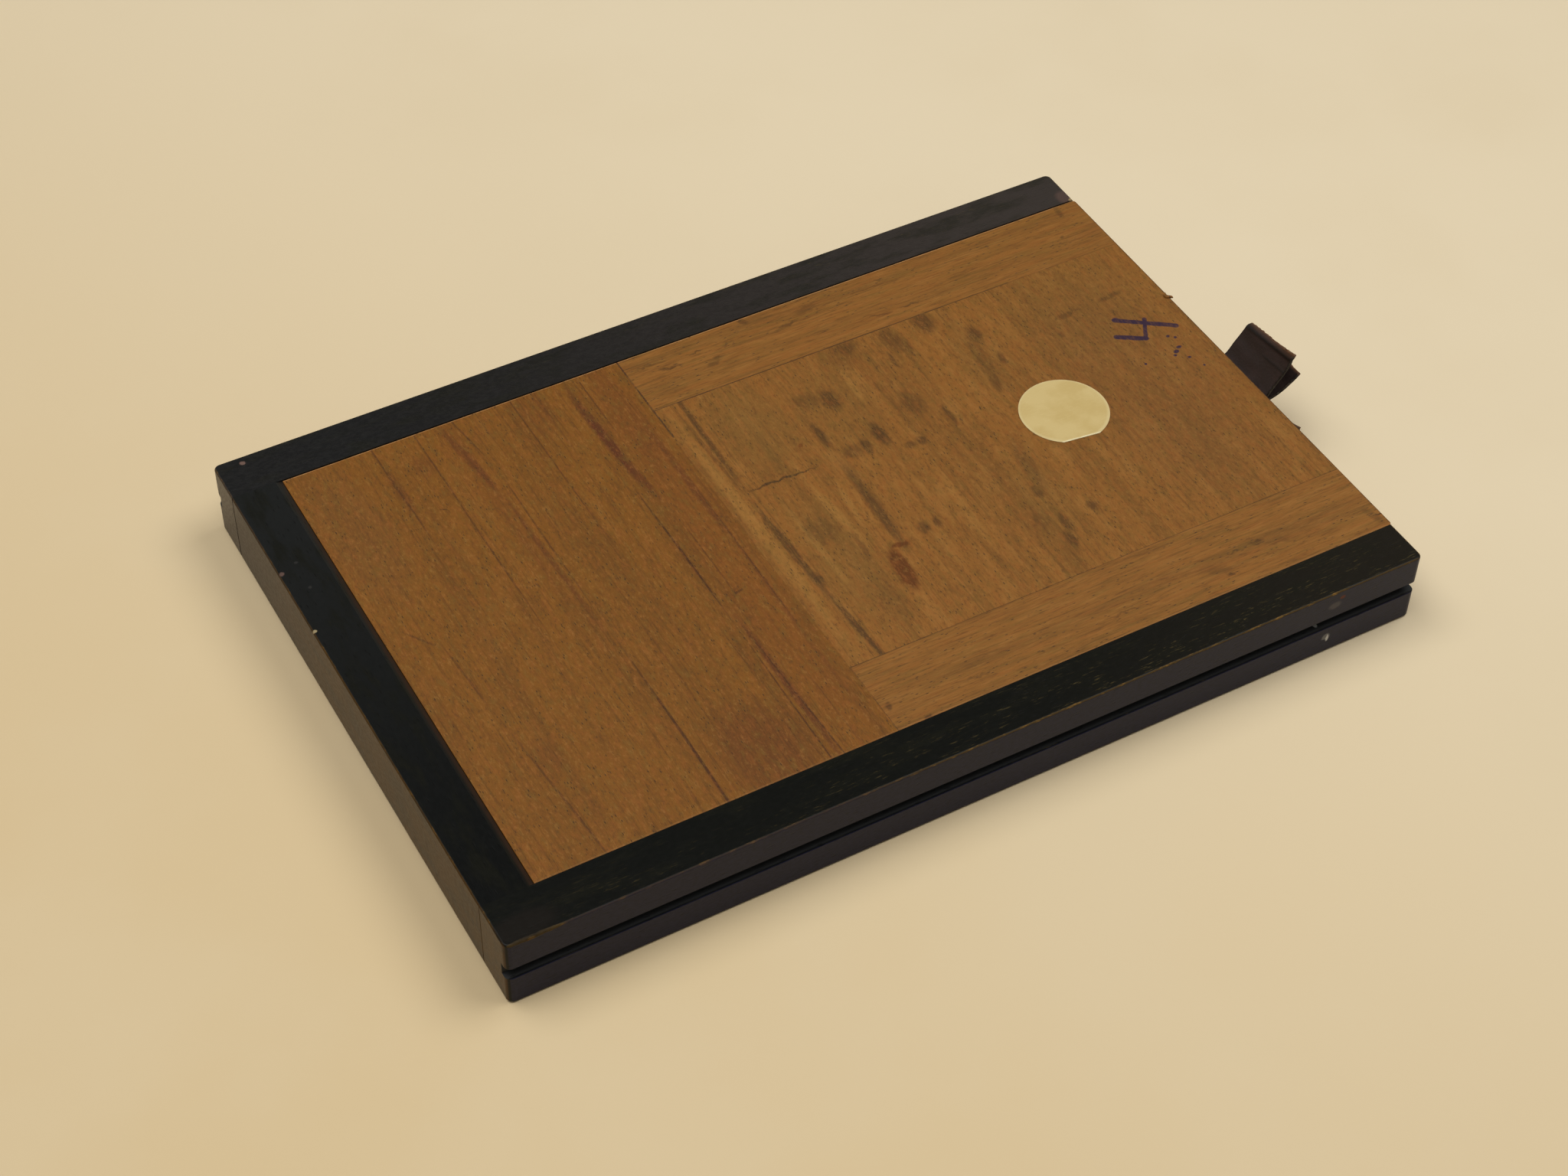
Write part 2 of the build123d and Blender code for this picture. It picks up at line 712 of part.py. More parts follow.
def pull_tab(upper_leaf_near, upper_leaf_far, lower_leaf, kerf_z):
    """A leather strap doubled in its kerf, whose two ends stand out of the slide's end.

    Each leaf is its centre line from the slide's end, as steps out of the slide and up.
    """
    near_edge = strap_middle_y - strap_width / 2
    far_edge = strap_middle_y + strap_width / 2
    leaves = (
        (upper_leaf_near, upper_leaf_far, kerf_z + strap_thickness / 2),
        (lower_leaf, lower_leaf, kerf_z - strap_thickness / 2),
    )
    with BuildPart() as tab:
        with BuildSketch(Plane.XY.offset(kerf_z - strap_thickness)):
            rectangle_between(slide_end_x - kerf_depth + seat_gap, slide_end_x, near_edge, far_edge)
        extrude(amount=2 * strap_thickness)
        for near_steps, far_steps, leaf_z in leaves:
            for edge_y, steps in ((near_edge, near_steps), (far_edge, far_steps)):
                centre = [(slide_end_x + out, leaf_z + up) for out, up in ((0, 0), *steps)]
                corners = ribbon_outline(centre, strap_thickness)
                corners[0] = (slide_end_x, leaf_z + strap_thickness / 2)
                corners[-1] = (slide_end_x, leaf_z - strap_thickness / 2)
                with BuildSketch(side_plane(edge_y)):
                    with BuildLine():
                        Polyline(*corners, close=True)
                    make_face()
            loft(ruled=True)
        with BuildSketch(Plane.XY.offset(kerf_z - 2 * strap_thickness)):
            with Locations((slide_end_x - kerf_depth / 2, strap_middle_y)):
                with GridLocations(0, tab_pin_spacing, 1, 2):
                    Rectangle(tab_pin_hole_width, tab_pin_hole_width)
        extrude(amount=4 * strap_thickness, mode=Mode.SUBTRACT)
    return tab


# The upper tab stands up, with a curled end that is higher on the near side. The lower one lies flat, with
# its end cut askew, so that it reaches furthest at its near corner.
pull_tab_upper = pull_tab(
    upper_leaf_near=((1.4, 1.2), (4.2, 4.9), (7.0, 8.9), (7.5, 11.3)),
    upper_leaf_far=((1.4, 1.0), (4.0, 4.1), (6.6, 7.5), (7.9, 7.3)),
    lower_leaf=((2.4, 0.1), (5.2, 1.3), (7.6, 2.7), (10.3, 5.2)),
    kerf_z=mid_z + kerf_level,
)
write(pull_tab_upper, "pull_tab_upper")
pull_tab_lower = pull_tab(
    upper_leaf_near=((4.0, 0.2), (9.0, -0.1), (12.0, -0.6), (strap_free_length, -1.0)),
    upper_leaf_far=((4.0, 0.2), (8.0, 0.0), (11.0, -0.5), (strap_free_length - 1.5, -0.8)),
    lower_leaf=((4.0, -0.6), (8.0, -1.1), (10.0, -1.2), (strap_free_length - 1.9, -1.2)),
    kerf_z=mid_z - kerf_level,
)
write(pull_tab_lower, "pull_tab_lower")

with BuildPart() as tab_pins_upper:
    with BuildSketch(level_plane(slide_under_level)):
        with Locations((slide_end_x - kerf_depth / 2, strap_middle_y)):
            with GridLocations(0, tab_pin_spacing, 1, 2):
                Rectangle(tab_pin_width, tab_pin_width)
    extrude(amount=slide_thickness - tab_pin_cover - seat_gap)
write(tab_pins_upper, "tab_pins_upper")
tab_pins_lower = for_lower_face(tab_pins_upper)
write(tab_pins_lower, "tab_pins_lower")
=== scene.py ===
"""Looks of the double-sided wooden plate holder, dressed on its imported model.

Patterns and small pieces are placed in the holder's own millimetres: x from the closed end, y from the near
side and z from the underside. Blender's unit is the metre, so MM turns those millimetres into metres.
"""

import math

import bpy
from mathutils import Matrix, Vector, noise


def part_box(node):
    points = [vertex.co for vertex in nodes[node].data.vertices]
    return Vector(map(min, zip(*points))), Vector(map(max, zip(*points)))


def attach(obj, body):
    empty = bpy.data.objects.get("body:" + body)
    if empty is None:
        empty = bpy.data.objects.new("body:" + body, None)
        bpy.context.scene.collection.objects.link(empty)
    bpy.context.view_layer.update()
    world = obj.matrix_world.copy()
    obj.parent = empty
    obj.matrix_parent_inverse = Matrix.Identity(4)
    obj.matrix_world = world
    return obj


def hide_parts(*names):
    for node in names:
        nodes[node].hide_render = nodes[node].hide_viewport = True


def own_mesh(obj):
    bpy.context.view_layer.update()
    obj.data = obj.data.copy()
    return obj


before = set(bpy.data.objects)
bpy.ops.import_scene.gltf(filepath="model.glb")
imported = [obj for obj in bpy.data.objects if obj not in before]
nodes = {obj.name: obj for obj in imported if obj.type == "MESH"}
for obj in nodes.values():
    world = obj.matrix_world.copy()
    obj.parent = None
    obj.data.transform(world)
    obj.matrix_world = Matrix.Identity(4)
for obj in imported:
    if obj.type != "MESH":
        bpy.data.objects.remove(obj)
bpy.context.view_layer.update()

MM = 0.001
# The corner that the holder's own millimetres are counted from, and the holder's size in them
corner, rail_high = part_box("side_rail_near")
length_mm = (rail_high.x - corner.x) / MM
width_mm = (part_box("side_rail_far")[1].y - corner.y) / MM
thickness_mm = (rail_high.z - corner.z) / MM
board_low, board_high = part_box("slide_board_upper")
label_low, label_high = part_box("label_disc")

# Where the board's darker heart piece ends, the guide groove, and the ledge under the end rail's lip
HEART_END = 100.7
GROOVE_LOW, GROOVE_HIGH, GROOVE_DEPTH = 8.05, 11.45, 2.5
END_LEDGE = 2.4
# A size that makes a pattern or a mark the same at every height
ANY_HEIGHT = 1e6
# The share of its half width over which a mark has its full strength
OVAL_CORE, SPOT_CORE, PORE_CORE = 0.35, 0.5, 0.35
# Cells of the flecks and of the lustre, along and across the grain: the strips have straighter grain
BOARD_FLECK, BOARD_LUSTRE = (1.7, 0.65), (3.2, 1.4)
STRIP_FLECK, STRIP_LUSTRE = (5.5, 0.5), (11, 1.1)
GRAIN_DEPTH = 0.12
LABEL_TEAR = (182.4, 71.9, 192, 70.6)

# Leather tabs: the strap, how far it goes into its kerf, and the cells that its skin is cut into
STRAP_THICKNESS = 0.9
STRAP_IN_KERF = 7.3
KERF_RISE = 1.9
STRAP_CELLS, LEAF_CELLS, RUN_CELLS, FOLD_CELLS, SMOOTH_PARTS = 34, 40, 8, 6, 16
# The upper leaf's end curls up over this width, and a thin crease crosses part of the leaf further in
CURL_WIDTH, BEND_WIDTH, BEND_DEPTH = 1.7, 0.4, 0.16
CREASE_PLACE, CREASE_WIDTH, CREASE_DEPTH, CREASE_SHARE, CREASE_FADE = 5.4, 0.25, 0.1, 0.55, 1 / 6
# How far the hand-cut sides and the leaves' faces stray, and how far a stretch, a fray and a cut reach in
HAND_CUT, DENT, DENT_REACH, EASED_ARRIS = 0.16, 0.16, 3, 0.22
STRETCHED_ACROSS, STRETCHED_CELLS, FRAYED_CELLS, CUT_CELLS = 4, 12, 3, 3

# Velvet ribbons: the edge turned down, the rounded shoulder, the pile and its tufts, and the cloth's cells
TURNED_DOWN, SHOULDER, PILE, TUFTED = 1.2, 0.5, 0.35, 0.14
SHOULDER_CELLS, CROWN_CELLS, VELVET_CELL = 4, 8, 0.7
SPLINTER_ROWS = 7

# The sheet on the table in metres: flat to one reach, and from another on swept up into the backdrop
SHEET_SIZE, SHEET_CELLS, SHEET_UNDER = 16, 64, 0.0002
FLAT_REACH, SHEET_LIFT, SWEEP_REACH, SWEEP_RISE = 0.5, 0.001, 6, 0.4
# Where the sheet's own light and shade gives way to its even tone, in millimetres from the holder's middle
LAMPS_REACH = (450, 1200)
ROOM_STRENGTH = 0.12
# The camera, in metres, degrees and the photograph's pixels
PHOTO_WIDTH = 2048
FOCAL_PIXELS = 3801.9
SENSOR_WIDTH = 36
CAMERA_PLACE = (-0.2548, -0.41535, 0.4995)
CAMERA_AIM = (-0.01567, -0.00260, 0)
CAMERA_ROLL = 1.245

# Colours of the woods, as the eye reads them under plain light; a few also carry painted sheen, reflection,
# highlight or shade, as their names say
LIGHT_FLECK, DARK_FLECK = "#9E6E34", "#573610"
RED_LUSTRE, OLIVE_LUSTRE = "#8A501C", "#6E511C"
PORE, INK = "#3A210A", "#2E1B30"
EBONISED_WORN, RUBBED_STAIN = "#16160F", "#4E4328"
# The sides' blue-grey is partly stain and partly painted reflection
SIDE_STAIN_AND_REFLECTION = "#272739"
END_STAIN, END_STAIN_FAR, END_STAIN_DARK = "#422B0F", "#352B2A", "#29201A"
PORE_BLACK, GROOVE_DIRT = "#050504", "#353636"
BARE_WOOD, BARE_WOOD_DULL, BARED_LIP_IN_SHADE = "#7E5E2D", "#46371D", "#2A1B12"
# The wood's own colour, its darker and its paler one, and how strongly it is mottled
PANEL = ("#87571F", "#604014", "#9D6D31", 0.45)
HEART = ("#7A4C10", "#55330A", "#8C5A20", 0.3)
STRIP = ("#865720", "#604016", "#98682F", 0.38)
GROWTH_LINE, GROWTH_BAND = "#3F2107", "#55290B"
DAMP, DAMP_LINE, RED_STAIN = "#3A2509", "#3C280D", "#5C3004"
OLIVE_AREA, DARKER_AREA, RED_AREA = "#6E5120", "#6E4820", "#74400F"
PALE_STREAK, GLUE_LINE, WORN_ARRIS_AND_HIGHLIGHT = "#A37636", "#3A2412", "#B98A58"
# Colours of the metals, the velvet, the leather and the papers
IRON_COAT, IRON_BARE = "#1B1A19", "#55524D"
STEEL, STEEL_STRAW, STEEL_BLUE = "#8C8A88", "#7A6A52", "#4F5666"
BRASS, BRASS_TARNISH = "#A98445", "#54401F"
VELVET, VELVET_LAID_OVER, VELVET_SHEEN = "#0B0B0C", "#19191B", "#4A4A50"
LEATHER, LEATHER_RUBBED, LEATHER_BROWNED_AND_LIT = "#281D1A", "#312420", "#6B4A31"
LEATHER_CUT, LEATHER_CREASE_SHADE = "#17110E", "#0D0A09"
LABEL, LABEL_CLOUD, LABEL_FIBRE = "#CCB47A", "#C4AA6E", "#D6C48E"
LABEL_RIM, LABEL_TORN = "#D9C896", "#E6D9AE"
TABLE, TABLE_SHADED, TABLE_CLOUD, TABLE_FAR = "#E6D5B4", "#DAC297", "#DFCCA8", "#DFCEAC"
ROOM = "#FFFFFF"

# What only one piece has: each group's colour, the way it came to be, and its marks. A mark goes from x, y to
# x, y, and has its width and how far it turns the wood to its colour.
UPPER_FIGURE = (
    (OLIVE_AREA, "soaked", (
        (214, 140, 214, 84, 56, 0.3), (119.5, 134, 118.5, 90, 24, 0.45), (141, 130, 140, 86, 26, 0.3),
        (117, 92, 116, 34, 20, 0.35), (182, 124, 178, 90, 14, 0.25), (171, 80, 167, 38, 15, 0.35),
    )),
    (DARKER_AREA, "soaked", (
        (212, 132, 212, 26, 60, 0.4), (20, 158, 22, 90, 24, 0.35),
    )),
    (RED_AREA, "grown", (
        (94, 190, 93, -30, 17, 0.42), (53, 170, 56, 70, 10, 0.3),
    )),
    (PALE_STREAK, "grown", (
        (103.3, 142, 104.2, 20, 4.6, 0.42), (112.4, 92, 113.6, 46, 2.6, 0.4),
        (120.6, 94, 123.6, 60, 3.4, 0.45), (127.6, 90, 125.2, 66, 2.4, 0.4),
        (148, 124, 147.2, 104, 2.6, 0.4), (151, 84, 148.4, 44, 3.4, 0.3),
    )),
    (GROWTH_BAND, "grown", (
        (51.6, 156, 56.4, 116, 3.2, 0.65), (56.1, 128, 57.9, 64, 1.9, 0.6), (85.1, 150, 87.3, 98, 3.9, 1),
        (86.4, 124, 88.4, 97, 2.2, 0.8), (85.9, 70, 86.3, 0, 2.9, 0.8), (96.6, 138, 97, 72, 2.8, 0.6),
        (97, 84, 96.8, 10, 2, 0.35), (72.5, 42, 72.5, 2, 28, 0.5), (95, 158, 95, 100, 10, 0.25),
        (35.6, 144, 35.6, 120, 3, 0.35), (44, 142, 44, 132, 7, 0.35), (29.2, 49, 30.4, 35, 8, 0.3),
        (75, 156, 75, 128, 12, 0.3),
    )),
    (GROWTH_LINE, "grown", (
        (35.3, 168.2, 35.8, 102, 0.8, 0.7), (35.8, 106, 36.8, 82, 0.7, 0.35),
        (46.3, 184.9, 46.2, 58, 0.7, 0.7), (54.7, 160.1, 58.9, 129, 0.7, 0.7),
        (58.8, 137, 58.9, 66, 0.7, 0.7), (58.9, 78, 58.8, -21.9, 1, 0.95), (71.4, 176.5, 71.8, 82, 0.6, 0.7),
        (63, 132, 63.2, 88, 0.6, 0.35), (66.2, 72, 66, 18, 0.7, 0.35), (84.3, 112, 84.5, 52, 0.8, 1),
        (84.6, 70, 83.7, -16.4, 0.6, 0.85), (85.4, 66, 88.2, -15, 0.7, 0.85),
        (88.9, 100, 89.2, 56, 0.6, 0.6), (89.7, 164.6, 89.4, 116, 0.6, 0.55),
        (97.4, 108, 97.2, 42, 0.7, 0.65), (91.8, 46, 92.1, -2.6, 0.6, 0.4), (17, 91.8, 24, 81, 0.9, 0.6),
        (23.7, 85, 25.5, 58, 0.8, 0.6), (25.3, 64, 31.4, -8.9, 0.9, 0.6), (80.4, 62, 83.4, -8.2, 0.6, 0.35),
        (78.1, 166.7, 77.6, 110, 0.7, 0.35), (41, 122.3, 43, 121.2, 0.6, 0.8),
        (87.6, 65.1, 92, 66.1, 1.1, 0.8), (88.2, 63.7, 89.6, 67.2, 1, 0.6), (50.6, 90.4, 51, 87.8, 0.9, 0.7),
    )),
    (DAMP, "soaked", (
        (140.5, 117.5, 140.2, 106, 6.5, 0.8), (135, 118.5, 135, 110, 9.1, 0.47),
        (132.2, 108.5, 132.2, 95.5, 2.9, 0.76), (135.2, 96.6, 136.6, 90.4, 6.8, 0.56),
        (139.8, 97.2, 139.8, 89.6, 3.5, 0.76), (144.9, 101.6, 144.3, 90, 4.5, 0.8),
        (149.3, 90.6, 149.3, 86.8, 3.8, 0.71), (152.6, 90.8, 152.4, 86.8, 4, 0.71),
        (157.5, 107.5, 157.3, 94.5, 7.8, 0.47), (163.5, 98, 163.2, 88, 2.1, 0.66),
        (161.4, 121, 161.2, 112.5, 1.6, 0.66), (150, 132, 149.5, 117, 9.8, 0.38),
        (152.6, 130, 152.6, 122.5, 7.8, 0.66), (165, 130.5, 165, 116.5, 7.2, 0.56),
        (167.6, 124, 166.4, 115, 3.1, 0.56), (175.7, 131.5, 175, 119.5, 7.8, 0.71),
        (184.7, 120, 184, 110.5, 4.9, 0.71), (185.9, 108.5, 185.1, 101.5, 3, 0.66),
        (180.6, 103, 178.4, 93, 3.5, 0.52), (183, 118.5, 179, 96.5, 4.9, 0.33),
        (172.7, 84, 168.8, 56, 5.5, 0.47), (168.3, 63.8, 167.4, 57.7, 4, 0.56),
        (168.4, 54, 167.7, 44, 3.6, 0.61), (166.5, 47.5, 165.4, 39, 3.6, 0.66),
        (163.3, 58, 162.7, 47, 3.2, 0.38), (177.1, 53, 176.5, 48.5, 4.3, 0.66),
        (137.5, 65.8, 137.5, 60.9, 4.7, 0.66), (141.4, 65.8, 141.3, 60.9, 2.5, 0.66),
        (203.4, 110.4, 213, 111.2, 2.5, 0.5), (216.6, 110.7, 227.4, 112.6, 2.4, 0.5),
        (203.2, 106.6, 203.2, 104, 2.3, 0.47),
    )),
    (DAMP_LINE, "soaked", (
        (108.1, 146, 107, 86, 2.2, 0.8), (105.4, 130, 106.5, 86, 1.3, 0.5), (106.6, 96, 107.7, 46, 2.9, 0.8),
        (107.8, 63.6, 107.8, 57, 3, 0.9), (107.3, 64, 109.6, 22, 2.2, 0.85), (104.6, 93.3, 129, 93, 1.1, 1),
        (132.5, 98, 130.3, 54, 4.6, 0.66), (115.5, 80, 115.5, 68, 9, 0.35), (122.6, 74, 121.4, 56, 2, 0.4),
    )),
    (RED_STAIN, "soaked", (
        (127.6, 63.2, 125.8, 45, 5.6, 1.6), (126.4, 61.5, 133.4, 60.9, 2.8, 1.1),
        (126, 102, 126, 100.4, 1.6, 0.9),
    )),
)
# The lower board was cut from a plainer length of the same wood
LOWER_FIGURE = (
    (GROWTH_BAND, "grown", (
        (92, 146, 90, 20, 3.4, 0.7), (52, 120, 53, 40, 7, 0.35),
    )),
    (GROWTH_LINE, "grown", (
        (40, 152, 40.6, 20, 0.8, 0.6), (66, 150, 67.4, 10, 0.9, 0.8), (128, 130, 128.4, 40, 0.8, 0.5),
        (176, 128, 177.2, 34, 0.8, 0.5),
    )),
    (DAMP, "soaked", (
        (120, 70, 121, 52, 7, 0.55), (188, 104, 186, 88, 6, 0.55), (150, 46, 150, 36, 4, 0.5),
    )),
)
NEAR_STRIP_FIGURE = ((DAMP, "soaked", (
    (102.7, 21.6, 102.4, 17.6, 2, 0.75), (107.2, 12.5, 109.8, 13, 1.5, 0.85),
    (190.8, 17.4, 193.4, 16.2, 1.5, 0.75), (200.8, 22.8, 206.2, 21.6, 1.9, 0.75),
    (195, 22.4, 200.6, 22.4, 0.8, 0.6), (231.6, 16.5, 236, 16.2, 0.8, 0.9), (231.6, 21, 233.8, 12.6, 3, 0.5),
    (203, 21.4, 213, 19.8, 3.2, 0.4), (184, 22, 195, 17.4, 3.8, 0.35), (119, 17.6, 131, 17.2, 1.2, 0.35),
    (157, 18.6, 172, 18, 0.9, 0.5),
)),)
FAR_STRIP_FIGURE = ((DAMP, "soaked", (
    (107.8, 140.7, 116.2, 140.1, 1.8, 0.85), (118.8, 135, 126.2, 139.6, 3, 0.55),
    (140.2, 139.8, 149.2, 141.8, 1.5, 0.6), (147, 142.6, 157, 145.2, 3.2, 0.45),
    (163.4, 133.5, 171.8, 132.5, 0.9, 0.75), (171.8, 133, 180.2, 132.5, 0.9, 0.7),
    (133.6, 149.4, 136.9, 145.4, 3, 0.6), (125.4, 141.4, 130.6, 141.8, 0.9, 0.6),
    (101, 144.1, 113, 142.9, 1, 0.5), (229.1, 150, 228.7, 143, 2.6, 0.6),
    (223.4, 137.5, 224.9, 136.8, 1.2, 0.7), (171.6, 145.3, 175.6, 144.7, 1, 0.6),
    (116.2, 142.7, 122.8, 142.3, 0.7, 0.6),
)),)
# Every piece of a slide has the slide's arrises, pale partly from wear and partly as a painted highlight, its
# glue lines, which are open here and there, and thin dark lines along its near edge and its open end
SLIDE_EDGES = (
    (WORN_ARRIS_AND_HIGHLIGHT, "cut", (
        (11, 148.2, 235.4, 148.2, 0.36, 0.7), (11, 12.6, 235.4, 12.6, 0.3, 0.15),
    )),
    (GLUE_LINE, "cut", (
        (100.7, 33.4, 235.4, 33.4, 0.26, 0.75), (100.7, 128.4, 202, 128.4, 0.3, 0.85),
        (201, 128.4, 235.4, 128.4, 0.26, 0.35), (100.85, 118, 100.85, 149, 0.42, 0.95),
        # The line along the open end, and the next one along the near edge, lie on the slide's rims beside
        # the gaps, where there is no glue joint: they only darken the rims
        (100.8, 11, 100.8, 33.4, 0.2, 0.6), (235.1, 11, 235.1, 149, 0.36, 0.8),
        (11, 12.2, 235.4, 12.2, 0.3, 0.8),
    )),
)

# The inked number's strokes, each from x, y to x, y with its width, and each drop's place and half size
INK_STROKES = (
    (214.9, 97.9, 221, 94, 1.6), (221, 94, 224.8, 100.3, 1.1), (217.9, 103.4, 230.4, 94.5, 1.5),
)
INK_DROPS = (
    (218.2, 103.3, 0.8, 0.8), (226.3, 92.1, 0.45, 0.4), (227.8, 90.9, 0.4, 0.4),
    (225, 86.4, 0.65, 0.5), (226.5, 87.5, 0.65, 0.45), (224, 85.4, 0.4, 0.4),
    (226.7, 83.1, 0.45, 0.35), (228.3, 79, 0.3, 0.3), (215.7, 86.1, 0.3, 0.3),
)

# Chips, knocks and specks of the frame, each with its colour, its centre and its half size
NEAR_RAIL_SPOTS = (
    ("#D8D8D2", (207.4, 2.1, GROOVE_LOW), (0.7, 0.7, 0.4)),
    ("#4A464A", (210.2, 0, 15.4), (2.2, 1.2, 1.3)),
    ("#5A2A1C", (212.1, 0, 17.3), (1, 1, 0.7)),
    ("#6E6E6E", (209.4, 0, 5.2), (1.5, 1, 1.1)),
    ("#C4C4C4", (209.9, 0, 4.6), (0.5, 1, 1.3)),
    ("#191612", (6, 3.4, thickness_mm), (10, 4.6, 1.4)),
)
FAR_RAIL_SPOTS = (
    ("#6E564C", (6.7, 158.2, thickness_mm), (0.8, 0.8, 0.8)),
    ("#4A3A34", (233.4, 150.4, thickness_mm), (3, 3.4, 0.6)),
    ("#8F7A56", (234.4, 148.6, thickness_mm), (1, 0.8, 0.8)),
)
END_RAIL_SPOTS = (
    ("#5E4A42", (0.9, 119.8, thickness_mm), (0.7, 0.8, 0.7)),
    ("#9A8A68", (0.4, 99.8, thickness_mm), (0.8, 0.5, 0.9)),
    ("#2E2D2B", (4.9, 112.9, thickness_mm), (0.6, 0.6, 0.6)),
    ("#2E2D2B", (5.1, 121.6, thickness_mm), (0.6, 0.6, 0.6)),
    ("#14100C", (0, 14.2, 12), (0.4, 0.5, 2.6)),
    ("#14100C", (0, 16.6, 9.4), (0.4, 0.6, 1.6)),
    ("#14100C", (0, 13.6, 5), (0.4, 0.4, 1.8)),
)


def colour(text):
    """An sRGB hex colour as the linear colour that Blender's sockets hold."""
    parts = [int(text[i : i + 2], 16) / 255 for i in (1, 3, 5)]
    linear = [c / 12.92 if c <= 0.04045 else ((c + 0.055) / 1.055) ** 2.4 for c in parts]
    return (*linear, 1)


def in_mm(point):
    """A point in metres as the holder's own millimetres."""
    return (point - corner) / MM


# Nodes that the materials share


class Drawing:
    """The material or the world that is being drawn: add puts each node in its tree."""

    owner = None

    @classmethod
    def begin(cls, owner):
        """Empties the node tree of a material or a world, and draws in it from here on."""
        cls.owner = owner
        owner.use_nodes = True
        owner.node_tree.nodes.clear()


def add(kind, inputs=None, out=0, **settings):
    """Adds a shader node with its settings. Each input is a value, or another node's output to link."""
    tree = Drawing.owner.node_tree
    made = tree.nodes.new(f"ShaderNode{kind}")
    for name, value in settings.items():
        setattr(made, name, value)
    for socket, value in (inputs or {}).items():
        if isinstance(value, bpy.types.NodeSocket):
            tree.links.new(value, made.inputs[socket])
        else:
            made.inputs[socket].default_value = value
    return made.outputs[out] if made.outputs else made


def maths(operation, *values):
    """A Math node on these values."""
    return add("Math", dict(enumerate(values)), operation=operation)


def vectors(operation, *values, out=0):
    """A Vector Math node. A length, a distance or a dot product is its output 1."""
    return add("VectorMath", dict(enumerate(values)), out=out, operation=operation)


def scaled(value, factor):
    """A mask times a factor or another mask."""
    return maths("MULTIPLY", value, factor)


def ramp(value, low, high, start=0, end=1):
    """A soft step of the value from start, at low, to end, at high."""
    steps = {"Value": value, "From Min": low, "From Max": high, "To Min": start, "To Max": end}
    return add("MapRange", steps, interpolation_type="SMOOTHSTEP")


def tint(under, over, mask):
    """The colour under, turned to the colour over where the mask is 1. A colour may be its hex text."""
    under, over = (colour(side) if isinstance(side, str) else side for side in (under, over))
    return add("Mix", {0: mask, 6: under, 7: over}, out=2, data_type="RGBA")


def patched(under, over, value, low, high, most=1, least=0):
    """The colour under, turned to the colour over as the value goes from low to high."""
    return tint(under, over, ramp(value, low, high, least, most))


def strongest(masks):
    """The largest of several masks, compared in pairs so that the renderer holds few at a time."""
    while len(masks) > 1:
        odd_one = masks[len(masks) // 2 * 2 :]
        masks = [maths("MAXIMUM", a, b) for a, b in zip(masks[::2], masks[1::2])] + odd_one
    return masks[0]


def seen_from(place, centre, size=(1, 1, 1), turn=0):
    """The place counted from a centre in sizes along x, y and z, with x turned about z."""
    seen = {"Vector": place, "Location": centre, "Rotation": (0, 0, turn), "Scale": size}
    return add("Mapping", seen, vector_type="TEXTURE")


def pattern_place(place, cell):
    """The same place counted in cells of this size in millimetres."""
    return vectors("MULTIPLY", place, [1 / size for size in cell])


def soft_noise(place, cell, detail, rough=0.5, out=0):
    """Soft noise from cells of this size. Its output 1 has a noise for each axis."""
    cells = {"Vector": pattern_place(place, cell), "Scale": 1, "Detail": detail, "Roughness": rough}
    return add("TexNoise", cells, out=out)


def scattered(place, cell, randomness=1, **settings):
    """How far the nearest of scattered points is, with one of them to a cell of this size."""
    cells = {"Vector": pattern_place(place, cell), "Scale": 1, "Randomness": randomness}
    return add("TexVoronoi", cells, **settings)


def wander(place, cell, reach):
    """The place pushed about by soft noise, so that nothing drawn there has a ruled edge."""
    drift = soft_noise(place, cell, 2, out=1)
    centred = vectors("SUBTRACT", drift, (0.5, 0.5, 0.5))
    pushed = vectors("MULTIPLY", centred, reach)
    return vectors("ADD", place, pushed)


def laid(ends):
    """The middle of a mark, how far it is turned and half its length."""
    start, end = Vector(ends[:2]), Vector(ends[2:])
    run = end - start
    return (*(start + end) / 2, 0), math.atan2(run.y, run.x), run.length / 2


def oval(place, ends, width):
    """1 on the middle line of a long oval from end to end, fading to 0 at its rim."""
    middle, turn, half_length = laid(ends)
    turned = seen_from(place, middle, (half_length, width / 2, ANY_HEIGHT), turn)
    return ramp(vectors("LENGTH", turned, out=1), 1, OVAL_CORE)


def spot(place, centre, half_size):
    """1 inside a small blob at this one place, fading to 0 at its rim."""
    own = seen_from(place, centre, half_size)
    return ramp(vectors("LENGTH", own, out=1), 1, SPOT_CORE)


def stroke(place, ends, width):
    """1 on a pen stroke of even width from end to end, 0 off it."""
    middle, turn, half_length = laid(ends)
    turned = seen_from(place, middle, turn=turn)
    flat = vectors("MULTIPLY", turned, (1, 1, 0))
    folded = vectors("ABSOLUTE", flat)
    past_end = vectors("SUBTRACT", folded, (half_length, 0, 0))
    outside = vectors("MAXIMUM", past_end, (0, 0, 0))
    return ramp(vectors("LENGTH", outside, out=1), 0.62 * width, 0.38 * width)


def grain_cell(along_x, length, width):
    """A cell that is long along the grain and narrow across it."""
    return (length, width, width) if along_x else (width, length, width)


def grain_noise(place, along_x, length, width, detail=3, rough=0.55):
    """Soft noise drawn out along the grain, from cells of this length and width."""
    return soft_noise(place, grain_cell(along_x, length, width), detail, rough)


def pores(place, along_x, length, width, share):
    """Short dark dashes along the grain: the cut vessels of an open-pored wood."""
    distance = scattered(place, grain_cell(along_x, length, width))
    return ramp(distance, share, PORE_CORE * share)


def from_nearer(value, whole):
    """How far a value is from the nearer of 0 and the whole."""
    return maths("MINIMUM", value, maths("SUBTRACT", whole, value))


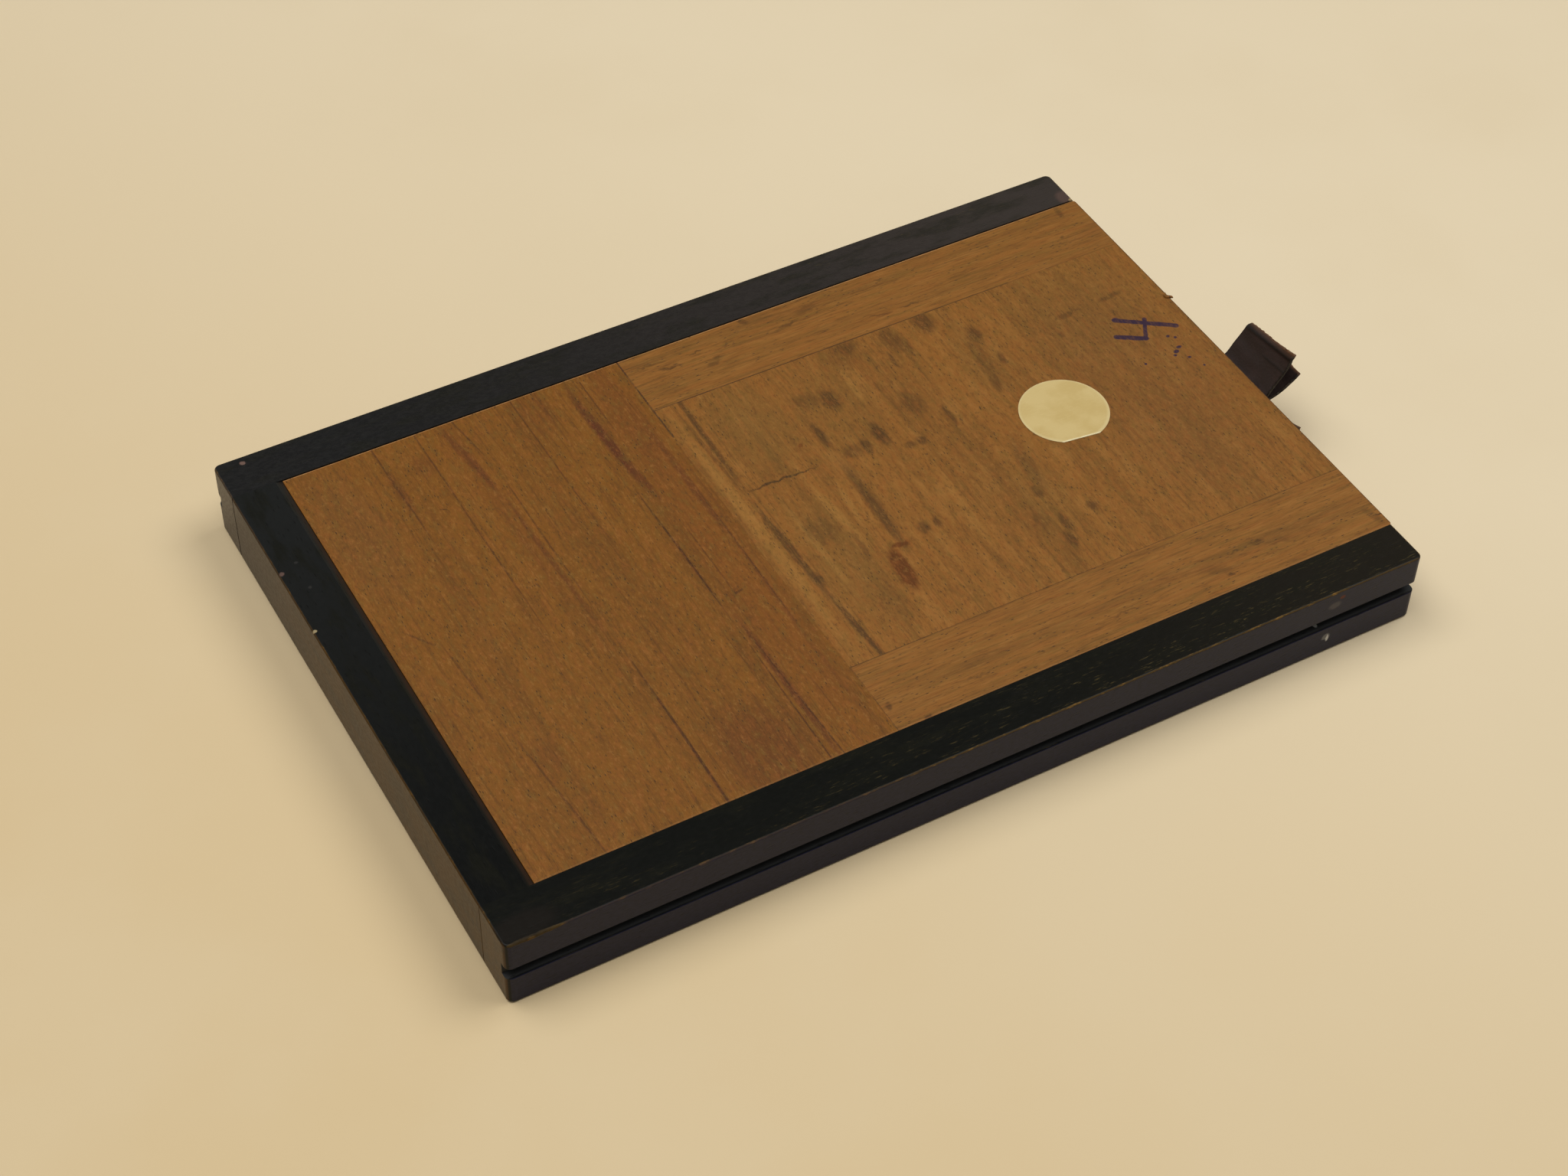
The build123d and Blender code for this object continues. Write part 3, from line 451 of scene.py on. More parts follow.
def box_arris(place, node):
    """How far a point is, in millimetres, from the nearest arris of this node's box."""
    low, high = (in_mm(end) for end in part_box(node))
    centred = vectors("SUBTRACT", place, (low + high) / 2)
    folded = vectors("ABSOLUTE", centred)
    depth = vectors("SUBTRACT", (high - low) / 2, folded)
    x, y, z = add("SeparateXYZ", {0: depth}, out=slice(0, 3))
    smaller = maths("MINIMUM", x, y)
    larger = maths("MAXIMUM", x, y)
    return maths("MAXIMUM", smaller, maths("MINIMUM", larger, z))


def begin_material(name):
    """Begins a material, and gives where a point is in the holder's own millimetres.

    That place is counted on the piece itself, so a pattern moves with its piece.
    """
    Drawing.begin(bpy.data.materials.new(name))
    return seen_from(add("TexCoord", out="Object"), corner, (MM, MM, MM))


def raised(height, strength, depth):
    """The surface's small relief, from a height pattern that is this deep in millimetres."""
    return add("Bump", {"Height": height, "Strength": strength, "Distance": depth * MM})


def principled(body, roughness, normal, gloss=0.5, **more):
    """A Principled surface. Any more inputs are given by their names, with _ between the words."""
    inputs = {"Base Color": body, "Roughness": roughness, "Normal": normal, "Specular IOR Level": gloss}
    inputs.update((name.replace("_", " "), value) for name, value in more.items())
    return add("BsdfPrincipled", inputs)


def finished(surface):
    """The material that was being drawn, ended in this surface."""
    add("OutputMaterial", {"Surface": surface})
    return Drawing.owner


# Wood


def grained(tones, bands, streaks, mottle):
    """The wood's own colour with its growth bands, its fine streaks and its mottled figure."""
    base, dark, pale, mottling = tones
    body = patched(base, dark, bands, 0.45, 0.75, 0.4)
    body = patched(body, dark, streaks, 0.5, 0.72, 0.6)
    body = patched(body, pale, mottle, 0.5, 0.74, mottling)
    return patched(body, dark, mottle, 0.48, 0.26, mottling)


def drawn_figure(place, body, figure, bands, streaks, lustre):
    """The wood with what only this piece has: growth lines, damp stains, worn arrises and glue lines."""
    # Growth lines bend softly, what has soaked in has a ragged rim, and a cut edge is nearly straight
    grown = wander(place, (30, 60, 50), (1.2, 1, 0))
    soaked = wander(grown, (1.8, 4, 50), (1.1, 2.4, 0))
    cut = wander(place, (3, 3, 50), (0.14, 0.14, 0))
    drawn_on = {"grown": grown, "soaked": soaked, "cut": cut}
    streaky = ramp(streaks, 0.28, 0.55, 0.7, 1)
    streaky = scaled(streaky, ramp(lustre, 0.34, 0.54, 0.75, 1))
    for text, kind, marks in figure:
        shape = stroke if kind == "cut" else oval
        together = strongest(
            [scaled(shape(drawn_on[kind], ends, width), depth) for *ends, width, depth in marks]
        )
        # A cut edge and a glue line show in some places and not in others
        shown = ramp(bands, 0.3, 0.6, 0.45, 1) if kind == "cut" else streaky
        body = tint(body, text, scaled(together, shown))
    return body


def oiled_mahogany(name, along_x, tones, figure=(), heart_tones=None, inked=None):
    """Oiled mahogany, planed, sanded and handled for years.

    The eye sees bands and fine streaks along the grain, open pores as short dark dashes, and a dull oil sheen
    that the pores break up. The figure is what only this piece has.
    """
    place = begin_material(f"oiled_mahogany_{name}")
    fleck_cell, lustre_cell = (STRIP_FLECK, STRIP_LUSTRE) if along_x else (BOARD_FLECK, BOARD_LUSTRE)
    wavy = wander(place, (45, 60, 45), (3, 3, 2))
    # Growth bands about 5 mm wide, streaks under 1 mm wide, mottling 3 mm wide and flecks of the ray cells
    bands = grain_noise(wavy, along_x, 150, 2.6 if along_x else 5, 2)
    streaks = grain_noise(wavy, along_x, 30, 0.6, 3, 0.65)
    mottle = grain_noise(wavy, along_x, 15, 2.6, 4)
    flecks = grain_noise(place, along_x, *fleck_cell, 3, 0.75)
    lustre = grain_noise(place, along_x, *lustre_cell, 3, 0.7)
    body = grained(tones, bands, streaks, mottle)
    if heart_tones:
        x = add("SeparateXYZ", {0: place})
        heart = grained(heart_tones, bands, streaks, mottle)
        body = patched(body, heart, x, HEART_END + 0.15, HEART_END - 0.15)
    body = drawn_figure(place, body, (*figure, *SLIDE_EDGES), bands, streaks, lustre)
    body = patched(body, RED_LUSTRE, lustre, 0.5, 0.7, 0.4)
    body = patched(body, OLIVE_LUSTRE, lustre, 0.5, 0.3, 0.45)
    body = patched(body, LIGHT_FLECK, flecks, 0.52, 0.7, 0.35)
    body = patched(body, DARK_FLECK, flecks, 0.48, 0.3, 0.6)
    # Vessels are about 0.2 mm wide in the real wood and drawn a little coarser so that they show
    open_pores = pores(place, along_x, 2.2, 0.55, 0.26)
    sparse = scaled(open_pores, ramp(lustre, 0.56, 0.4, 0.15, 1))
    body = tint(body, PORE, sparse)
    if inked:
        body = tint(body, INK, inked(place))
    relief = maths("MULTIPLY_ADD", sparse, -0.8, streaks)
    normal = raised(relief, 0.5, GRAIN_DEPTH)
    roughness = ramp(streaks, 0.2, 0.8, 0.5, 0.66)
    return finished(principled(body, roughness, normal, 0.25))


def rubbed_streaks(x, from_side, streaks, coarse):
    """Where hands have rubbed: a rail's outer half most, and its open half, where they pull the slides."""
    rubbed = scaled(ramp(streaks, 0.58, 0.68), ramp(coarse, 0.4, 0.62))
    rubbed = scaled(rubbed, ramp(from_side, 11, 2, 0.3, 1))
    return scaled(rubbed, ramp(x, 0.2 * length_mm, 0.7 * length_mm, 0.35, 1))


def in_guide_groove(z, from_side):
    """1 on the walls and the floor of a rail's guide groove."""
    inward = ramp(from_side, 0.3, 0.8)
    over_low = ramp(z, GROOVE_LOW - 0.2, GROOVE_LOW)
    under_high = ramp(z, GROOVE_HIGH + 0.2, GROOVE_HIGH)
    outward = ramp(from_side, GROOVE_DEPTH + 0.2, GROOVE_DEPTH + 0.05)
    return scaled(scaled(inward, outward), scaled(over_low, under_high))


def ebonised_mahogany(node, name, along_x, stain_and_sheen, streakiness, bared, polish, spots=(), worn=None, lip=None):
    """Mahogany stained black and rubbed with wax.

    The eye sees a near-black satin that mirrors the table faintly at low angles, grain showing as relief
    rather than colour, brown streaks where hands have rubbed, and brown wood bared along a worn arris.
    """
    place = begin_material(f"ebonised_mahogany_{name}")
    stain_start, stain_and_sheen_end, kept_share = stain_and_sheen
    gloss, smoothest, roughest, raised_grain = polish
    x, y, z = add("SeparateXYZ", {0: place}, out=slice(0, 3))
    from_side = from_nearer(y, width_mm)
    streaks = grain_noise(place, along_x, 3, 0.34, 3, 0.65)
    coarse = grain_noise(place, along_x, 12, 3, 3)
    mottle = grain_noise(place, along_x, 1.4, 0.8, 2)
    open_pores = pores(place, along_x, 4.4, 0.9, 0.22)
    along, whole = (x, length_mm) if along_x else (y, width_mm)
    # Stain and painted sheen: the base colour lightens along the piece toward its far tone
    body = patched(stain_start, stain_and_sheen_end, along, kept_share * whole, whole)
    body = patched(body, EBONISED_WORN, coarse, 0.45, 0.72, 0.7)
    rubbed = rubbed_streaks(x, from_side, streaks, coarse)
    body = tint(body, RUBBED_STAIN, scaled(rubbed, streakiness))
    # The sides and the ends were stained once and not rubbed down: the ends show the wood's brown through,
    # and the sides are painted blue-grey, partly that stain and partly a painted reflection of the pale room
    side_face = ramp(from_side, 0.35, 0.15)
    body = tint(body, SIDE_STAIN_AND_REFLECTION, scaled(side_face, ramp(mottle, 0.2, 0.7, 0.6, 1)))
    end_face = ramp(from_nearer(x, length_mm), 0.4, 0.2)
    end_grain = patched(END_STAIN, END_STAIN_FAR, y, 0.5 * width_mm, width_mm)
    end_grain = patched(end_grain, END_STAIN_DARK, coarse, 0.42, 0.66, 0.7)
    body = tint(body, end_grain, end_face)
    in_groove = in_guide_groove(z, from_side)
    body = tint(body, GROOVE_DIRT, in_groove)
    body = tint(body, PORE_BLACK, scaled(open_pores, 0.5))
    # Stain is gone from the outermost tenths of a millimetre of an arris, more in some places than in others
    arris = box_arris(place, node)
    ragged = grain_noise(place, along_x, 4, 1.2, 4, 0.7)
    width = ramp(ragged, 0.25, 0.75, 0.7 * bared, 1.4 * bared)
    if worn:
        worn_by = worn(place, ragged)
        width = maths("ADD", width, worn_by)
    depth = maths("SUBTRACT", width, arris)
    bare = patched(BARE_WOOD_DULL, BARE_WOOD, ragged, 0.52, 0.7)
    bared_arris = ramp(depth, -0.1, 0.1)
    # The closed half has kept its stain: its arrises are only dulled
    browned = ramp(x, 0.3 * length_mm, 0.5 * length_mm, 0.45, 1)
    if worn:
        browned = maths("MULTIPLY_ADD", worn_by, 4, browned)
    body = tint(body, bare, scaled(bared_arris, browned))
    if lip:
        body = tint(body, BARED_LIP_IN_SHADE, lip(place, ragged))
    uneven = wander(place, (1.4, 1.4, 1.4), (0.8, 0.8, 0.8))
    for text, centre, half_size in spots:
        body = tint(body, text, spot(uneven, centre, half_size))
    polished = ramp(mottle, 0.3, 0.75, smoothest, roughest)
    relief = maths("MULTIPLY_ADD", open_pores, -0.9, streaks)
    normal = raised(relief, raised_grain, GRAIN_DEPTH)
    roughness = maths("MULTIPLY_ADD", strongest([in_groove, bared_arris]), 0.4, polished)
    return finished(principled(body, roughness, normal, gloss))


def inked_number(place):
    """A hand-inked 4 that numbers the slide, and drops shaken from the pen."""
    shaky = wander(place, (2.4, 2.4, 50), (0.5, 0.5, 0))
    pen = [stroke(shaky, ends, width) for *ends, width in INK_STROKES]
    shaken = [
        spot(shaky, (x, y, 0), (1.5 * half_x, 1.5 * half_y, ANY_HEIGHT))
        for x, y, half_x, half_y in INK_DROPS
    ]
    # Ink sinks into the grain, so a stroke is thinner in some streaks than in others
    soaked = grain_noise(place, False, 1.8, 0.5, 2)
    height = add("SeparateXYZ", {0: place}, out=2)
    upper_face = ramp(height, thickness_mm - 1.2, thickness_mm - 0.9)
    inked = scaled(strongest(pen + shaken), ramp(soaked, 0.25, 0.6, 0.7, 1))
    return scaled(inked, upper_face)


def bared_corner(place, ragged):
    """How much wider, in millimetres, the near rail's arris is bared at its closed end."""
    rubbed = spot(place, (6, 0, thickness_mm), (9, 1.4, 1.4))
    return scaled(scaled(rubbed, ramp(ragged, 0.3, 0.6, 0.6, 1)), 0.4)


def bared_end_lip(place, ragged):
    """Reddish wood rubbed bare of its ebonising on the end rail's lip bevels by the slides, painted dark as
    shade beside the slide.
    """
    x, y = add("SeparateXYZ", {0: place}, out=slice(0, 2))
    lip_x = in_mm(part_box("end_rail")[1]).x - END_LEDGE
    near_lip = ramp(x, lip_x - 1.4, lip_x - 0.5)
    fading_far = ramp(y, 150, 90, 0.45, 1)
    return scaled(scaled(near_lip, ramp(ragged, 0.25, 0.6, 0.5, 1)), fading_far)


# Metal, paper, leather and velvet


def blackened_iron(name):
    """Sheet iron, blackened in oil: a thin matt coat that has rubbed down to grey iron in patches."""
    place = begin_material(name)
    coat = grain_noise(place, True, 9, 6, 4, 0.65)
    scratch = grain_noise(place, True, 30, 0.35, 3)
    worn = scaled(ramp(coat, 0.56, 0.72), ramp(scratch, 0.45, 0.62))
    normal = raised(soft_noise(place, (0.35, 0.35, 0.35), 2), 0.3, 0.02)
    body = tint(IRON_COAT, IRON_BARE, worn)
    metallic = ramp(worn, 0, 1, 0.25, 0.9)
    return finished(principled(body, ramp(worn, 0, 1, 0.58, 0.4), normal, Metallic=metallic))


def spring_steel(name):
    """Tempered strip steel, rolled bright: fine lines along the strip and a straw and blue temper tint."""
    place = begin_material(name)
    rolled = grain_noise(place, True, 18, 0.18, 2)
    temper = grain_noise(place, True, 30, 14, 2)
    body = patched(STEEL, STEEL_STRAW, temper, 0.4, 0.6)
    body = patched(body, STEEL_BLUE, temper, 0.58, 0.75, 0.7)
    normal = raised(rolled, 0.25, 0.01)
    return finished(principled(body, ramp(rolled, 0.3, 0.7, 0.26, 0.42), normal, Metallic=1))


def dulled_brass(name):
    """Brass, turned or stamped, never polished since: brown tarnish, and yellow metal on what is rubbed."""
    place = begin_material(name)
    tarnish = soft_noise(place, (1.6, 1.6, 1.6), 4)
    brown = ramp(tarnish, 0.42, 0.66)
    normal = raised(tarnish, 0.3, 0.02)
    body = tint(BRASS, BRASS_TARNISH, brown)
    return finished(principled(body, ramp(brown, 0, 1, 0.3, 0.55), normal, Metallic=1))


def cotton_velvet(name):
    """Black cotton velvet: pile about 1 mm long that drinks the light and turns grey where it lies over."""
    place = begin_material(name)
    # Pile stands in tufts about 0.25 mm apart, and lies over in patches of some millimetres
    tufts = scattered(place, (0.25, 0.25, 0.5))
    laid_over = grain_noise(place, False, 9, 3, 3)
    body = patched(VELVET, VELVET_LAID_OVER, laid_over, 0.45, 0.7)
    normal = raised(tufts, 0.9, 0.15)
    sheen = {"Sheen_Weight": 0.5, "Sheen_Roughness": 0.4, "Sheen_Tint": colour(VELVET_SHEEN)}
    return finished(principled(body, 0.95, normal, 0.1, **sheen))


def bridle_leather(name):
    """Bridle leather, dyed black and dried out: browned and cracked where it has been bent and pulled.

    The eye sees a low sheen broken by a fine pebble, brown on the curl's worn end and the arrises, with a
    faint painted light over the upper leaf's curl, darker dye along the cut edges, and painted shade in the
    crease and the bend behind the curl.
    """
    place = begin_material(name)
    # The pebble of the grain side is about 0.5 mm across
    pebble = scattered(place, (0.5, 0.5, 0.5), 0.9, feature="SMOOTH_F1")
    rubbed = soft_noise(place, (3, 4, 3), 4)
    curl, crease, cut = (
        add("Attribute", out=2, attribute_name=text) for text in ("curl", "crease", "cut_edge")
    )
    body = patched(LEATHER, LEATHER_RUBBED, rubbed, 0.42, 0.7)
    # Worn ends are browned; the faint brown over the upper leaf's curl is painted light
    body = tint(body, LEATHER_BROWNED_AND_LIT, scaled(curl, ramp(rubbed, 0.2, 0.6, 0.6, 1)))
    body = tint(body, LEATHER_CUT, scaled(cut, 0.8))
    # Painted shade in the crease and in the bend behind the curl
    body = tint(body, LEATHER_CREASE_SHADE, crease)
    relief = maths("MULTIPLY_ADD", pebble, -1, rubbed)
    normal = raised(relief, 0.5, 0.1)
    roughness = ramp(rubbed, 0.35, 0.7, 0.5, 0.66)
    return finished(principled(body, roughness, normal, 0.24, IOR=1.48))


def gummed_paper(name):
    """Gummed rag paper, yellowed: cloudy cream with short fibres, and paler on its rim and its torn edge."""
    place = begin_material(name)
    clouds = soft_noise(place, (6, 6, 6), 4)
    fibres = grain_noise(place, True, 1.6, 0.3, 3)
    radius = in_mm(label_high).x / 2 - in_mm(label_low).x / 2
    centred = vectors("SUBTRACT", place, in_mm((label_low + label_high) / 2))
    rim = ramp(vectors("LENGTH", centred, out=1), radius - 0.9, radius - 0.1)
    body = patched(LABEL, LABEL_CLOUD, clouds, 0.38, 0.68)
    body = patched(body, LABEL_FIBRE, fibres, 0.55, 0.8, 0.35)
    # Torn fibres stand pale along the tear
    torn = stroke(place, LABEL_TEAR, 0.9)
    body = tint(body, LABEL_RIM, scaled(rim, 0.45))
    body = tint(body, LABEL_TORN, scaled(torn, ramp(fibres, 0.3, 0.6, 0.5, 1)))
    return finished(principled(body, 0.85, raised(fibres, 0.4, 0.03), 0.2))


def table_paper(name):
    """The pale cream sheet that the holder lies on: matt, with faint clouds of tone.

    The lamps light the sheet around the holder. Farther out it is seen at one even pale tone, up to the top
    of the backdrop, and it still lights nothing there.
    """
    place = begin_material(name)
    clouds = soft_noise(place, (90, 90, 90), 4)
    fine = soft_noise(place, (0.8, 0.8, 0.8), 2)
    # Painted shade: the sheet is darker and warmer toward its near left, and a little paler toward its far
    # right corner
    paler_way = vectors("DOT_PRODUCT", place, (0.0035, 0.0018, 0), out=1)
    body = patched(TABLE_SHADED, TABLE, paler_way, -0.2, 1.3)
    body = patched(body, TABLE_CLOUD, clouds, 0.4, 0.7, 0.35)
    lit_paper = principled(body, 0.9, raised(fine, 0.2, 0.05), 0.15)
    reach = vectors("DISTANCE", place, (length_mm / 2, width_mm / 2, 0), out=1)
    rays = ("Camera", "Glossy", "Transmission")
    seen_by = [add("LightPath", out=f"Is {ray} Ray") for ray in rays]
    far = scaled(ramp(reach, *LAMPS_REACH), strongest(seen_by))
    even_tone = add("Emission", {"Color": colour(TABLE_FAR)})
    sheet = add("MixShader", {0: far, 1: lit_paper, 2: even_tone})
    material = finished(sheet)
    # The even tone is only looked at, so no light is looked for on it
    material.cycles.emission_sampling = "NONE"
    return material


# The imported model's finishes


def wear(node, material):
    """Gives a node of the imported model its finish."""
    mesh = nodes[node].data
    mesh.materials.clear()
    mesh.materials.append(material)


board_wood = {
    "upper": oiled_mahogany("upper_board", False, PANEL, UPPER_FIGURE, HEART, inked_number),
    "lower": oiled_mahogany("lower_board", False, PANEL, LOWER_FIGURE, HEART),
}
strip_wood = {
    "near_upper": oiled_mahogany("near_strip", True, STRIP, NEAR_STRIP_FIGURE),
    "far_upper": oiled_mahogany("far_strip", True, STRIP, FAR_STRIP_FIGURE),
}
plain_strip_wood = oiled_mahogany("plain_strip", True, STRIP)

# A stain goes from one tone to another, and holds the first over a share of the piece; the lighter tone it
# goes to is partly painted sheen. A polish is its gloss, how smooth and how rough it gets, and how strongly
# the grain stands up in it.
stained = {
    "side_rail_near": dict(
        name="near_rail", along_x=True, stain_and_sheen=("#0E0F0C", "#1A1711", 0.5), streakiness=1, bared=0.31,
        polish=(0.12, 0.28, 0.34, 0.2), spots=NEAR_RAIL_SPOTS, worn=bared_corner,
    ),
    "side_rail_far": dict(
        name="far_rail", along_x=True, stain_and_sheen=("#151515", "#302A27", 0.1), streakiness=0.3, bared=0.3,
        polish=(0.25, 0.32, 0.44, 0.25), spots=FAR_RAIL_SPOTS,
    ),
    "end_rail": dict(
        name="end_rail", along_x=False, stain_and_sheen=("#0C0D0C", "#1E1F1E", 0), streakiness=0.35, bared=0.3,
        polish=(0.1, 0.28, 0.36, 0.2), spots=END_RAIL_SPOTS, lip=bared_end_lip,
    ),
    "trap_bar": dict(
        name="trap_bar", along_x=False, stain_and_sheen=("#12110F", "#171412", 0), streakiness=0.3, bared=0.1,
        polish=(0.3, 0.4, 0.5, 0.3),
    ),
}
for node, look in stained.items():
    wear(node, ebonised_mahogany(node, **look))

iron = blackened_iron("blackened_iron")
steel = spring_steel("tempered_strip_steel")
brass = dulled_brass("dulled_brass")
paper = gummed_paper("gummed_rag_paper")
leather = bridle_leather("bridle_leather")
velvet = cotton_velvet("black_cotton_velvet")
for node in ("septum", "plate_lip_upper", "plate_lip_lower"):
    wear(node, iron)
for side in ("upper", "lower"):
    wear(f"slide_board_{side}", board_wood[side])
    for edge in ("near", "far"):
        wear(f"slide_strip_{edge}_{side}", strip_wood.get(f"{edge}_{side}", plain_strip_wood))
    for node in ("plate_catch", "catch_keeper"):
        wear(f"{node}_{side}", brass)
    for node in ("pressure_spring", "trap_spring", "tab_pins"):
        wear(f"{node}_{side}", steel)
for node in ("spring_rivets", "lip_tacks", "keeper_screws"):
    wear(node, brass)
wear("label_disc", paper)


# Pieces of their own


def new_object(name, data):
    """A new object that stands in the scene."""
    made = bpy.data.objects.new(name, data)
    bpy.context.scene.collection.objects.link(made)
    return made


def grid_faces(rows, columns):
    """Four-sided faces on a grid of points laid row by row, with one more point each way."""
    size = columns + 1
    return [
        (i * size + j, i * size + j + 1, (i + 1) * size + j + 1, (i + 1) * size + j)
        for i in range(rows)
        for j in range(columns)
    ]


def smooth_mesh(name, points, faces, material):
    """A smooth-shaded mesh with this finish."""
    mesh = bpy.data.meshes.new(name)
    mesh.from_pydata(points, [], faces)
    mesh.polygons.foreach_set("use_smooth", [True] * len(faces))
    mesh.validate()
    mesh.materials.append(material)
    return mesh


def mesh_piece(name, points, faces, material, body):
    """A piece made from its points and faces, dressed, riding on its body."""
    piece = new_object(name, smooth_mesh(name, points, faces, material))
    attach(piece, body)
    return piece


def bending_leaf(name, node):
    """The bowed leaf behind a plate catch, copied as a piece of its own; the real leaf flattens where the
    catch is pressed back on it.
    """
    mesh = nodes[node].data.copy()
    mesh.name = name
    mesh.materials.clear()
    mesh.materials.append(steel)
    leaf = new_object(name, mesh)
    leaf.matrix_world = nodes[node].matrix_world
    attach(leaf, "holder")
    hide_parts(node)
    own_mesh(leaf)


for side in ("upper", "lower"):
    bending_leaf(f"catch_leaf_{side}", f"catch_spring_{side}")


# Leather pull tabs


def smooth_line(points):
    """Closely spaced points along a smooth line through these ones."""
    line = []
    last = len(points) - 1
    for index in range(last):
        before = points[max(index - 1, 0)]
        start, end = points[index], points[index + 1]
        after = points[min(index + 2, last)]
        for part in range(SMOOTH_PARTS):
            t = part / SMOOTH_PARTS
            straight = 2 * start + (end - before) * t
            bent = (2 * before - 5 * start + 4 * end - after) * t**2
            twisted = (3 * start - before - 3 * end + after) * t**3
            line.append(0.5 * (straight + bent + twisted))
    return line + [points[last]]


def even(line, count):
    """The line cut into this many equal lengths."""
    lengths = [0]
    for start, end in zip(line, line[1:]):
        lengths.append(lengths[-1] + (end - start).length)
    result, index = [], 0
    for part in range(count + 1):
        wanted = lengths[-1] * part / count
        while index < len(line) - 2 and lengths[index + 1] < wanted:
            index += 1
        span = lengths[index + 1] - lengths[index]
        t = min(1, (wanted - lengths[index]) / span) if span else 0
        result.append(line[index].lerp(line[index + 1], t))
    return result


def edge_line(upper, lower, kerf_z):
    """One edge of a doubled strap: in along the upper leaf, round the fold in the kerf, out along the lower.

    A leaf is steps out of the slide's end and up, in millimetres.
    """
    half = STRAP_THICKNESS / 2 * MM
    fold_x = board_high.x - STRAP_IN_KERF * MM
    top_z, under_z = kerf_z + half, kerf_z - half
    upper_leaf, lower_leaf = (
        [Vector((board_high.x + out * MM, z + up * MM)) for out, up in ((0, 0), *leaf)]
        for leaf, z in ((upper, top_z), (lower, under_z))
    )
    fold = [
        Vector((fold_x - half * math.sin(angle), kerf_z + half * math.cos(angle)))
        for angle in (math.pi * part / FOLD_CELLS for part in range(FOLD_CELLS + 1))
    ]
    line = even(smooth_line(upper_leaf), LEAF_CELLS)[::-1]
    line += even([upper_leaf[0], Vector((fold_x, top_z))], RUN_CELLS)[1:]
    line += fold[1:]
    line += even([Vector((fold_x, under_z)), lower_leaf[0]], RUN_CELLS)[1:]
    line += even(smooth_line(lower_leaf), LEAF_CELLS)[1:]
    return line


def fading(distance, reach):
    """1 at no distance, falling evenly to 0 at this reach and beyond."""
    return max(0, 1 - distance / reach)


def rising(distance, reach):
    """0 at no distance and below, rising evenly to 1 at this reach and beyond."""
    return max(0, min(1, distance / reach))


def ridge(distance, width):
    """1 at no distance, falling smoothly to nothing on both sides."""
    return math.exp(-((distance / width) ** 2))


def uneven_by(size, x, y, z):
    """Smooth noise of this size at this place of its own pattern."""
    return size * noise.noise(Vector((x, y, z)))


def leather_strap(name, node, body, upper_near, upper_far, lower, kerf_z, fray, stretched_corner=0):
    """A strap doubled in its kerf: one skin swept between its two edges, then given its thickness."""
    low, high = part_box(node)
    near_line = edge_line(upper_near, lower, kerf_z)
    far_line = edge_line(upper_far, lower, kerf_z)
    last = len(near_line) - 1
    points, curl, crease, cut = [], [], [], []
    travelled = 0
    for index, (near_point, far_point) in enumerate(zip(near_line, far_line)):
        if index:
            travelled += (near_point - near_line[index - 1]).length / MM
        ahead, behind = min(index + 1, last), max(index - 1, 0)
        near_run, far_run = (line[ahead] - line[behind] for line in (near_line, far_line))
        upper_leaf = index <= LEAF_CELLS
        to_end = min(index, last - index)
        outward = -1 if upper_leaf else 1
        bend = ridge(travelled - CURL_WIDTH, BEND_WIDTH) if upper_leaf else 0
        for step in range(STRAP_CELLS + 1):
            share = step / STRAP_CELLS
            across = share * (high.y - low.y) / MM
            middle = near_point.lerp(far_point, share)
            run = near_run.lerp(far_run, share)
            along = Vector((run.x, 0, run.y)).normalized()
            normal = Vector((0, 1, 0)).cross(along)
            frayed = uneven_by(1, across * 1.3, index // last, 3.1)
            frayed += uneven_by(0.5, across * 4.3, index // last, 8.7)
            pull = fray * frayed * fading(to_end, FRAYED_CELLS)
            if upper_leaf:
                corner_pull = fading(across, STRETCHED_ACROSS) ** 2 * fading(to_end, STRETCHED_CELLS)
                pull += stretched_corner * corner_pull
            strayed = uneven_by(HAND_CUT, travelled * 0.4, share * 9, 1.7)
            strayed *= fading(min(step, STRAP_CELLS - step), CUT_CELLS)
            dent = uneven_by(DENT, travelled * 0.28, across * 0.22, 5)
            dent *= rising(middle.x - board_high.x, DENT_REACH * MM)
            thin = ridge(travelled - CREASE_PLACE, CREASE_WIDTH) if upper_leaf else 0
            thin *= rising(CREASE_SHARE - share, CREASE_FADE)
            place = Vector((middle.x, low.y + (across + strayed) * MM, middle.y))
            place += normal * (dent - outward * (BEND_DEPTH * bend + CREASE_DEPTH * thin)) * MM
            place += along * outward * pull * MM
            points.append(place)
            # A leaf is browned where its end is worn, and the upper one gets a faint painted light over its
            # curl
            browned = fading(travelled, 0.7) + 0.2 * rising(CURL_WIDTH - travelled, BEND_WIDTH)
            curl.append(min(1, browned) if upper_leaf else fading(to_end, 2.5))
            # Painted shade: the bend behind the curl and the thin crease are darkened where shade falls
            crease.append(max(0.85 * bend, 0.75 * thin))
            cut.append(1 if step in (0, STRAP_CELLS) and to_end > 2 else 0)
    strap = mesh_piece(name, points, grid_faces(last, STRAP_CELLS), leather, body)
    for attribute, values in (("curl", curl), ("crease", crease), ("cut_edge", cut)):
        strap.data.attributes.new(attribute, "FLOAT", "POINT").data.foreach_set("value", values)
    skin = strap.modifiers.new("thickness", "SOLIDIFY")
    skin.thickness = STRAP_THICKNESS * MM
    skin.offset = 0
    eased = strap.modifiers.new("eased_arrises", "BEVEL")
    eased.width = EASED_ARRIS * MM
    eased.segments = 3
    eased.limit_method = "ANGLE"
    eased.angle_limit = math.radians(50)
    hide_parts(node)


